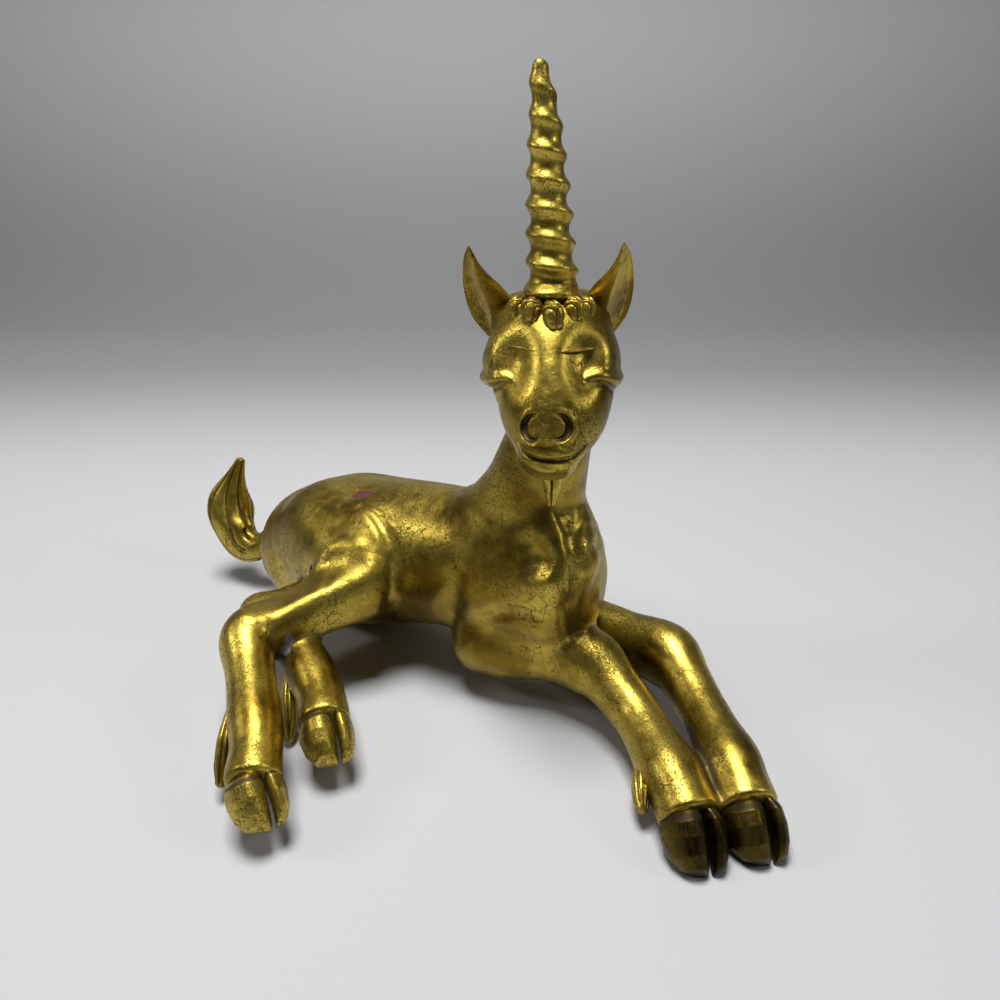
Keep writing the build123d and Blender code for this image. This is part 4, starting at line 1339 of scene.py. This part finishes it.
class GildingColours(bpy.types.PropertyGroup):
    """Colours of the gold leaf, the patina and painted shade of its hollows, and the bole under it."""

    bright: tone("Bright leaf", "Clean leaf", (0.56, 0.415, 0.068))
    deep: tone("Deep leaf", "Thin leaf", (0.21, 0.135, 0.017))
    # Dark colour of the hollows: real patina, and also painted shade in creases and under parts.
    patina_and_shade: tone("Patina", "Hollows", (0.024, 0.014, 0.007))
    bole: tone("Bole", "Red clay under the leaf", (0.075, 0.012, 0.008))
    filler: tone("Filler", "Grey filler", (0.16, 0.15, 0.15))


def foal():
    """The scene's sizes and colours for the foal."""
    return bpy.context.scene.gilded_foal


class FoalSettings(bpy.types.PropertyGroup):
    """All of the foal's settings."""

    body: PointerProperty(type=FoalSizes)
    legs: PointerProperty(type=LegSizes)
    head: PointerProperty(type=HeadSizes)
    tail: PointerProperty(type=TailSizes)
    colours: PointerProperty(type=GildingColours)


def gold_for(name, **settings):
    """Gilding with the scene's colours, made once."""
    colours = foal().colours
    tones = (colours.bright, colours.deep, colours.patina_and_shade, colours.bole, colours.filler)
    return bpy.data.materials.get(name) or gilding(name, tones, **settings)


class FOAL_OT_body(bpy.types.Operator):
    """Model the torso, neck, legs and dock from one block of clay and part the skin"""

    bl_idname = "foal.body"
    bl_label = "Body and legs"

    def execute(self, context):
        s = foal()
        clay = Clay(*BODY_BLOCK, BODY_PITCH)
        body_limbs(clay, s.body, s.legs, s.head, s.tail)
        model_body(clay)
        cut_at_table(clay)
        skin = Skin(clay)
        owner = skin.owners(clay, (*BODY_LIMBS, "head"))
        material = gold_for("gold_leaf_body")
        for index, name in enumerate(BODY_LIMBS):
            mesh = skin.piece(f"{name}_skin", owner == index)
            add_piece(mesh, (name,), material)
        return {"FINISHED"}


class FOAL_OT_head(bpy.types.Operator):
    """Model the head and its closed lids"""

    bl_idname = "foal.head"
    bl_label = "Head and eyelids"

    def execute(self, context):
        s = foal()
        head = HeadFrame(s.head)
        clay = Clay(*HEAD_BLOCK, HEAD_PITCH)
        clay.add("head", head_tube(s.head, head))
        clay.add("neck", neck_tube(s.body))
        clay.add("right_eyelid", lid_tube(s.head, head, -1))
        clay.add("left_eyelid", lid_tube(s.head, head, 1))
        model_head(clay, head)
        skin = Skin(clay)
        owner = skin.owners(clay, HEAD_LIMBS, HEAD_HANDICAPS)
        material = gold_for("gold_leaf_body")
        for index, name in enumerate(HEAD_LIMBS[:3]):
            add_piece(skin.piece(f"{name}_skin", owner == index), (name,), material)
        return {"FINISHED"}


class FOAL_OT_horn(bpy.types.Operator):
    """Wind the horn"""

    bl_idname = "foal.horn"
    bl_label = "Horn"

    def execute(self, context):
        s = foal()
        mesh = sleeve_mesh("spiral_horn", horn_surface(s.head, HeadFrame(s.head)))
        add_piece(mesh, ("horn",), gold_for("gold_leaf_horn"))
        return {"FINISHED"}


class FOAL_OT_ears(bpy.types.Operator):
    """Cup both ears"""

    bl_idname = "foal.ears"
    bl_label = "Ears"

    def execute(self, context):
        s = foal()
        head = HeadFrame(s.head)
        for name, side in (("right_ear", -1), ("left_ear", 1)):
            mesh = sleeve_mesh(f"{name}_cup", ear_surface(s.head, head, side))
            add_piece(mesh, (name,), gold_for("gold_leaf_body"))
        return {"FINISHED"}


def curl_lock(h, head, path, size):
    """One curl of the forelock."""
    width = size * h.curl_width
    rows = sections(*((place, width, wide, deep) for place, wide, deep in CURL_GIRTHS))
    tube = Tube(head.path(path), rows, up=head.axis, caps=CURL_CAPS, step=0.2 * MM, rounding=1.6 * MM)
    return lock_surface(tube, 5, 1.4, 0.7 * MM)


def beard_lock(h, head):
    """Beard: a lock that hangs from the chin and narrows to a point."""
    chin = head.at(0.86, 0.6 * MM, -0.36 * h.muzzle_depth)
    joints = chain(chin, [h.beard_length / 2] * 2, [h.heading] * 2, BEARD_RISES) + BEARD_SHIFT * head.left
    tube = Tube(joints, BEARD_GIRTHS, caps=(1 * MM, 1.4 * MM), step=0.25 * MM, rounding=2 * MM)
    return lock_surface(tube, 4, 0.0, 1.7 * MM)


def tuft_lock(t, joints, girth, length, drop):
    """Tuft of hair behind a fetlock, which swings out and hangs down no lower than the table."""
    direction = unit(joints[3] - joints[2])
    across = unit(np.cross(UPWARD, direction))
    root = (joints[2] + joints[3]) / 2 - across * (0.24 * girth) - UPWARD * (0.16 * girth)
    turn = np.degrees(np.arctan2(direction[1], direction[0]))
    path = chain(root, [length / 2] * 2, (turn - 24, turn - 20), (drop, drop))
    rows = np.array(TUFT_GIRTHS) * (1, t.tuft_depth, t.tuft_width)
    tube = Tube(path, rows, caps=(1 * MM, 1.5 * MM), step=0.4 * MM, rounding=2 * MM)
    surface, marks = lock_surface(tube, 8, 1.0, 1.2 * MM)
    surface[..., 2] = np.maximum(surface[..., 2], 0)
    return surface, marks


def plume_lock(t, facing):
    """Plume of the tail, flattened towards the viewer and curled up to its tip."""
    rows = np.array(PLUME_GIRTHS) * (1, t.plume_width, t.plume_depth)
    rows = np.vstack([(2.9, 1.2 * t.dock_width, 1.1 * t.dock_width), rows])
    tube = Tube(dock_joints(t), rows, up=facing, caps=(1 * MM, 1.2 * MM), step=0.4 * MM, rounding=5 * MM)
    return lock_surface(tube, 7, 3.4, 1.5 * MM, columns=200, lobes=0.12)


def tufts(s):
    """Name of each tuft's node, and the joints, fetlock width, length and drop of its lock."""
    fore = (s.legs.fore_fetlock_width, s.tail.fore_tuft_length, -8)
    hind = (s.legs.hind_fetlock_width, s.tail.hind_tuft_length, -36)
    for side, name in enumerate(("right", "left")):
        yield (f"{name}_fore_tuft", foreleg_joints(s.legs, side), *fore)
        yield (f"{name}_hind_tuft", hindleg_joints(s.body, s.legs, side), *hind)


class FOAL_OT_hair(bpy.types.Operator):
    """Lay the forelock's curls, the beard, the fetlock tufts and the tail's plume"""

    bl_idname = "foal.hair"
    bl_label = "Hair"

    def execute(self, context):
        s = foal()
        head = HeadFrame(s.head)
        curls = [curl_lock(s.head, head, path, size) for path, size in CURLS]
        self.add("forelock_curls", "forelock", *curls)
        self.add("beard_lock", "beard", beard_lock(s.head, head))
        for node, *shape in tufts(s):
            self.add(f"{node}_lock", node, tuft_lock(s.tail, *shape))
        self.add("tail_plume", "tail_tuft", plume_lock(s.tail, bearing(s.head.heading, 0)))
        return {"FINISHED"}

    @staticmethod
    def add(name, node, *locks):
        """Put locks into the scene as one piece that stands for a node."""
        add_piece(sleeve_mesh(name, *locks), (node,), gold_for("gold_leaf_hair"))


class FOAL_OT_hooves(bpy.types.Operator):
    """Shape the four cloven hooves"""

    bl_idname = "foal.hooves"
    bl_label = "Hooves"

    def execute(self, context):
        s = foal()
        for side, name in enumerate(("right", "left")):
            for pair, joints, width in (
                ("fore", foreleg_joints(s.legs, side), s.legs.fore_hoof_width),
                ("hind", hindleg_joints(s.body, s.legs, side), s.legs.hind_hoof_width),
            ):
                claws = [claw_surface(joints, width, *shares) for shares in ((-1.0, CLEFT), (CLEFT, 1.0))]
                mesh = sleeve_mesh(f"{name}_{pair}_claws", *claws)
                gold = gold_for(f"gold_leaf_{pair}_hoof", strength=HOOF_GOLD[pair])
                add_piece(mesh, (f"{name}_{pair}_hoof",), gold)
        return {"FINISHED"}


CAMERA_PLACE = np.array((129.23, -232.05, 212.0)) * MM
CAMERA_TURN = 33.0
CAMERA_DIP = 25.0
CAMERA_LENS = 27
CAMERA_SENSOR = 36
CAMERA_CLIP = (0.01, 20)
SWEEP_FRONT, SWEEP_BEND_FROM, SWEEP_BEND, SWEEP_TOP, SWEEP_SPAN = -1.6, 0.75, 0.5, 2.6, 2.4
SWEEP_ARC_STEPS, SWEEP_SPAN_STEPS = 24, 9
# Paper colours with painted light and shade: a lighter pool on the floor round the figure, and a backdrop painted
# darker low down behind it and lighter towards its top.
LIT_NEAR_TONE = (0.46, 0.46, 0.468)
SHADED_FAR_LOW_TONE, LIT_FAR_HIGH_TONE = (0.275, 0.275, 0.28), (0.55, 0.55, 0.56)
FAR_RISE = 0.45
FADE_BACK = (0.22, 0.56)
NEAR_REACH = 0.30
LAMP_AIM = (0, 0, 0.08)
LAMPS = (
    ("over", (-0.05, -0.05, 1.25), 0.46, 21.0),
    ("left", (-1.0, -0.75, 0.9), 0.26, 3.6),
    ("right", (1.1, 0.35, 0.8), 0.26, 2.3),
)
ROOM_TONE = (0.35, 0.36, 0.38)
ROOM_STRENGTH = 0.12


class FOAL_OT_stage(bpy.types.Operator):
    """Set up the floor, the backdrop, the lamps and the camera"""

    bl_idname = "foal.stage"
    bl_label = "Stage"

    def execute(self, context):
        scene = context.scene
        scene.view_settings.view_transform = "Standard"
        camera = bpy.data.objects.new("camera", bpy.data.cameras.new("camera"))
        scene.collection.objects.link(camera)
        camera.data.lens = CAMERA_LENS
        camera.data.sensor_width = CAMERA_SENSOR
        camera.data.clip_start, camera.data.clip_end = CAMERA_CLIP
        camera.location = CAMERA_PLACE + TO_OWN_FRAME
        camera.rotation_euler = (np.radians(90 - CAMERA_DIP), 0, np.radians(CAMERA_TURN))
        scene.camera = camera
        self.sweep(scene)
        self.lamps(scene)
        return {"FINISHED"}

    def sweep(self, scene):
        """Floor that curves up into a backdrop, turned to face the camera, with painted light and shade in its colour.
        """
        turn = np.radians(CAMERA_TURN)
        facing = (-np.sin(turn), np.cos(turn), 0.0)
        beside = np.array((np.cos(turn), np.sin(turn), 0.0))
        arc = np.linspace(0, np.pi / 2, SWEEP_ARC_STEPS)
        bend_end = SWEEP_BEND_FROM + SWEEP_BEND
        run = np.concatenate([[SWEEP_FRONT], SWEEP_BEND_FROM + SWEEP_BEND * np.sin(arc), [bend_end]])
        height = np.concatenate([[0.0], SWEEP_BEND - SWEEP_BEND * np.cos(arc), [SWEEP_TOP]])
        span = np.linspace(-SWEEP_SPAN, SWEEP_SPAN, SWEEP_SPAN_STEPS)
        points = span[None, :, None] * beside + run[:, None, None] * np.array(facing) + height[:, None, None] * UPWARD
        rows, columns = points.shape[:2]
        row, column = np.meshgrid(np.arange(rows - 1), np.arange(columns - 1), indexing="ij")
        here = row * columns + column
        quads = np.stack([here, here + 1, here + columns + 1, here + columns], axis=-1).reshape(-1, 4)
        mesh = mesh_from("paper_sweep", points.reshape(-1, 3) - TO_OWN_FRAME, quads)
        floor = bpy.data.objects.new("paper_sweep", mesh)
        scene.collection.objects.link(floor)
        paint = Paint("paper")
        # Painted light and shade: the paper is lighter near the figure and darker behind it, and the backdrop lightens
        # with height.
        height = paint.node("ShaderNodeSeparateXYZ", {0: paint.place}).outputs["Z"]
        behind = paint.vector("DOT_PRODUCT", paint.place, facing)
        away = paint.vector("LENGTH", paint.place)
        away = paint.larger(behind, paint.less(away, NEAR_REACH))
        far = paint.mix(paint.step(height, 0.0, FAR_RISE), SHADED_FAR_LOW_TONE, LIT_FAR_HIGH_TONE)
        colour = paint.mix(paint.step(away, *FADE_BACK), LIT_NEAR_TONE, far)
        mesh.materials.append(paint.finish({"Base Color": colour, "Roughness": 0.8}))

    def lamps(self, scene):
        """Soft boxes over, beside and before the figure, and a dim room round it."""
        for name, place, size, watts in LAMPS:
            lamp = bpy.data.lights.new(name, "AREA")
            lamp.shape = "SQUARE"
            lamp.size = size
            lamp.energy = watts
            box = bpy.data.objects.new(name, lamp)
            scene.collection.objects.link(box)
            box.location = place
            box.rotation_euler = (Vector(LAMP_AIM) - Vector(place)).to_track_quat("-Z", "Y").to_euler()
        world = bpy.data.worlds.new("room")
        world.use_nodes = True
        background = world.node_tree.nodes["Background"]
        background.inputs["Color"].default_value = (*ROOM_TONE, 1)
        background.inputs["Strength"].default_value = ROOM_STRENGTH
        scene.world = world


STEPS = (FOAL_OT_body, FOAL_OT_head, FOAL_OT_horn, FOAL_OT_ears, FOAL_OT_hair, FOAL_OT_hooves, FOAL_OT_stage)


class FOAL_PT_sidebar(bpy.types.Panel):
    """Sidebar list of the foal's pieces and sizes"""

    bl_idname = "FOAL_PT_sidebar"
    bl_label = "Gilded Foal"
    bl_space_type = "VIEW_3D"
    bl_region_type = "UI"
    bl_category = "Foal"

    def draw(self, context):
        for step in STEPS:
            self.layout.operator(step.bl_idname)
        settings = context.scene.gilded_foal
        for group in (settings.body, settings.legs, settings.head, settings.tail, settings.colours):
            box = self.layout.box()
            for key in group.__annotations__:
                box.prop(group, key)


CLASSES = (FoalSizes, LegSizes, HeadSizes, TailSizes, GildingColours, FoalSettings, *STEPS, FOAL_PT_sidebar)


def register():
    """Add the foal's settings, operators and panel."""
    for item in CLASSES:
        bpy.utils.register_class(item)
    bpy.types.Scene.gilded_foal = PointerProperty(type=FoalSettings)


def unregister():
    """Take the foal's settings, operators and panel away."""
    del bpy.types.Scene.gilded_foal
    for item in reversed(CLASSES):
        bpy.utils.unregister_class(item)


def main():
    """Make every piece in order."""
    register()
    for step in STEPS:
        group, name = step.bl_idname.split(".")
        getattr(getattr(bpy.ops, group), name)()


if __name__ == "__main__":
    main()
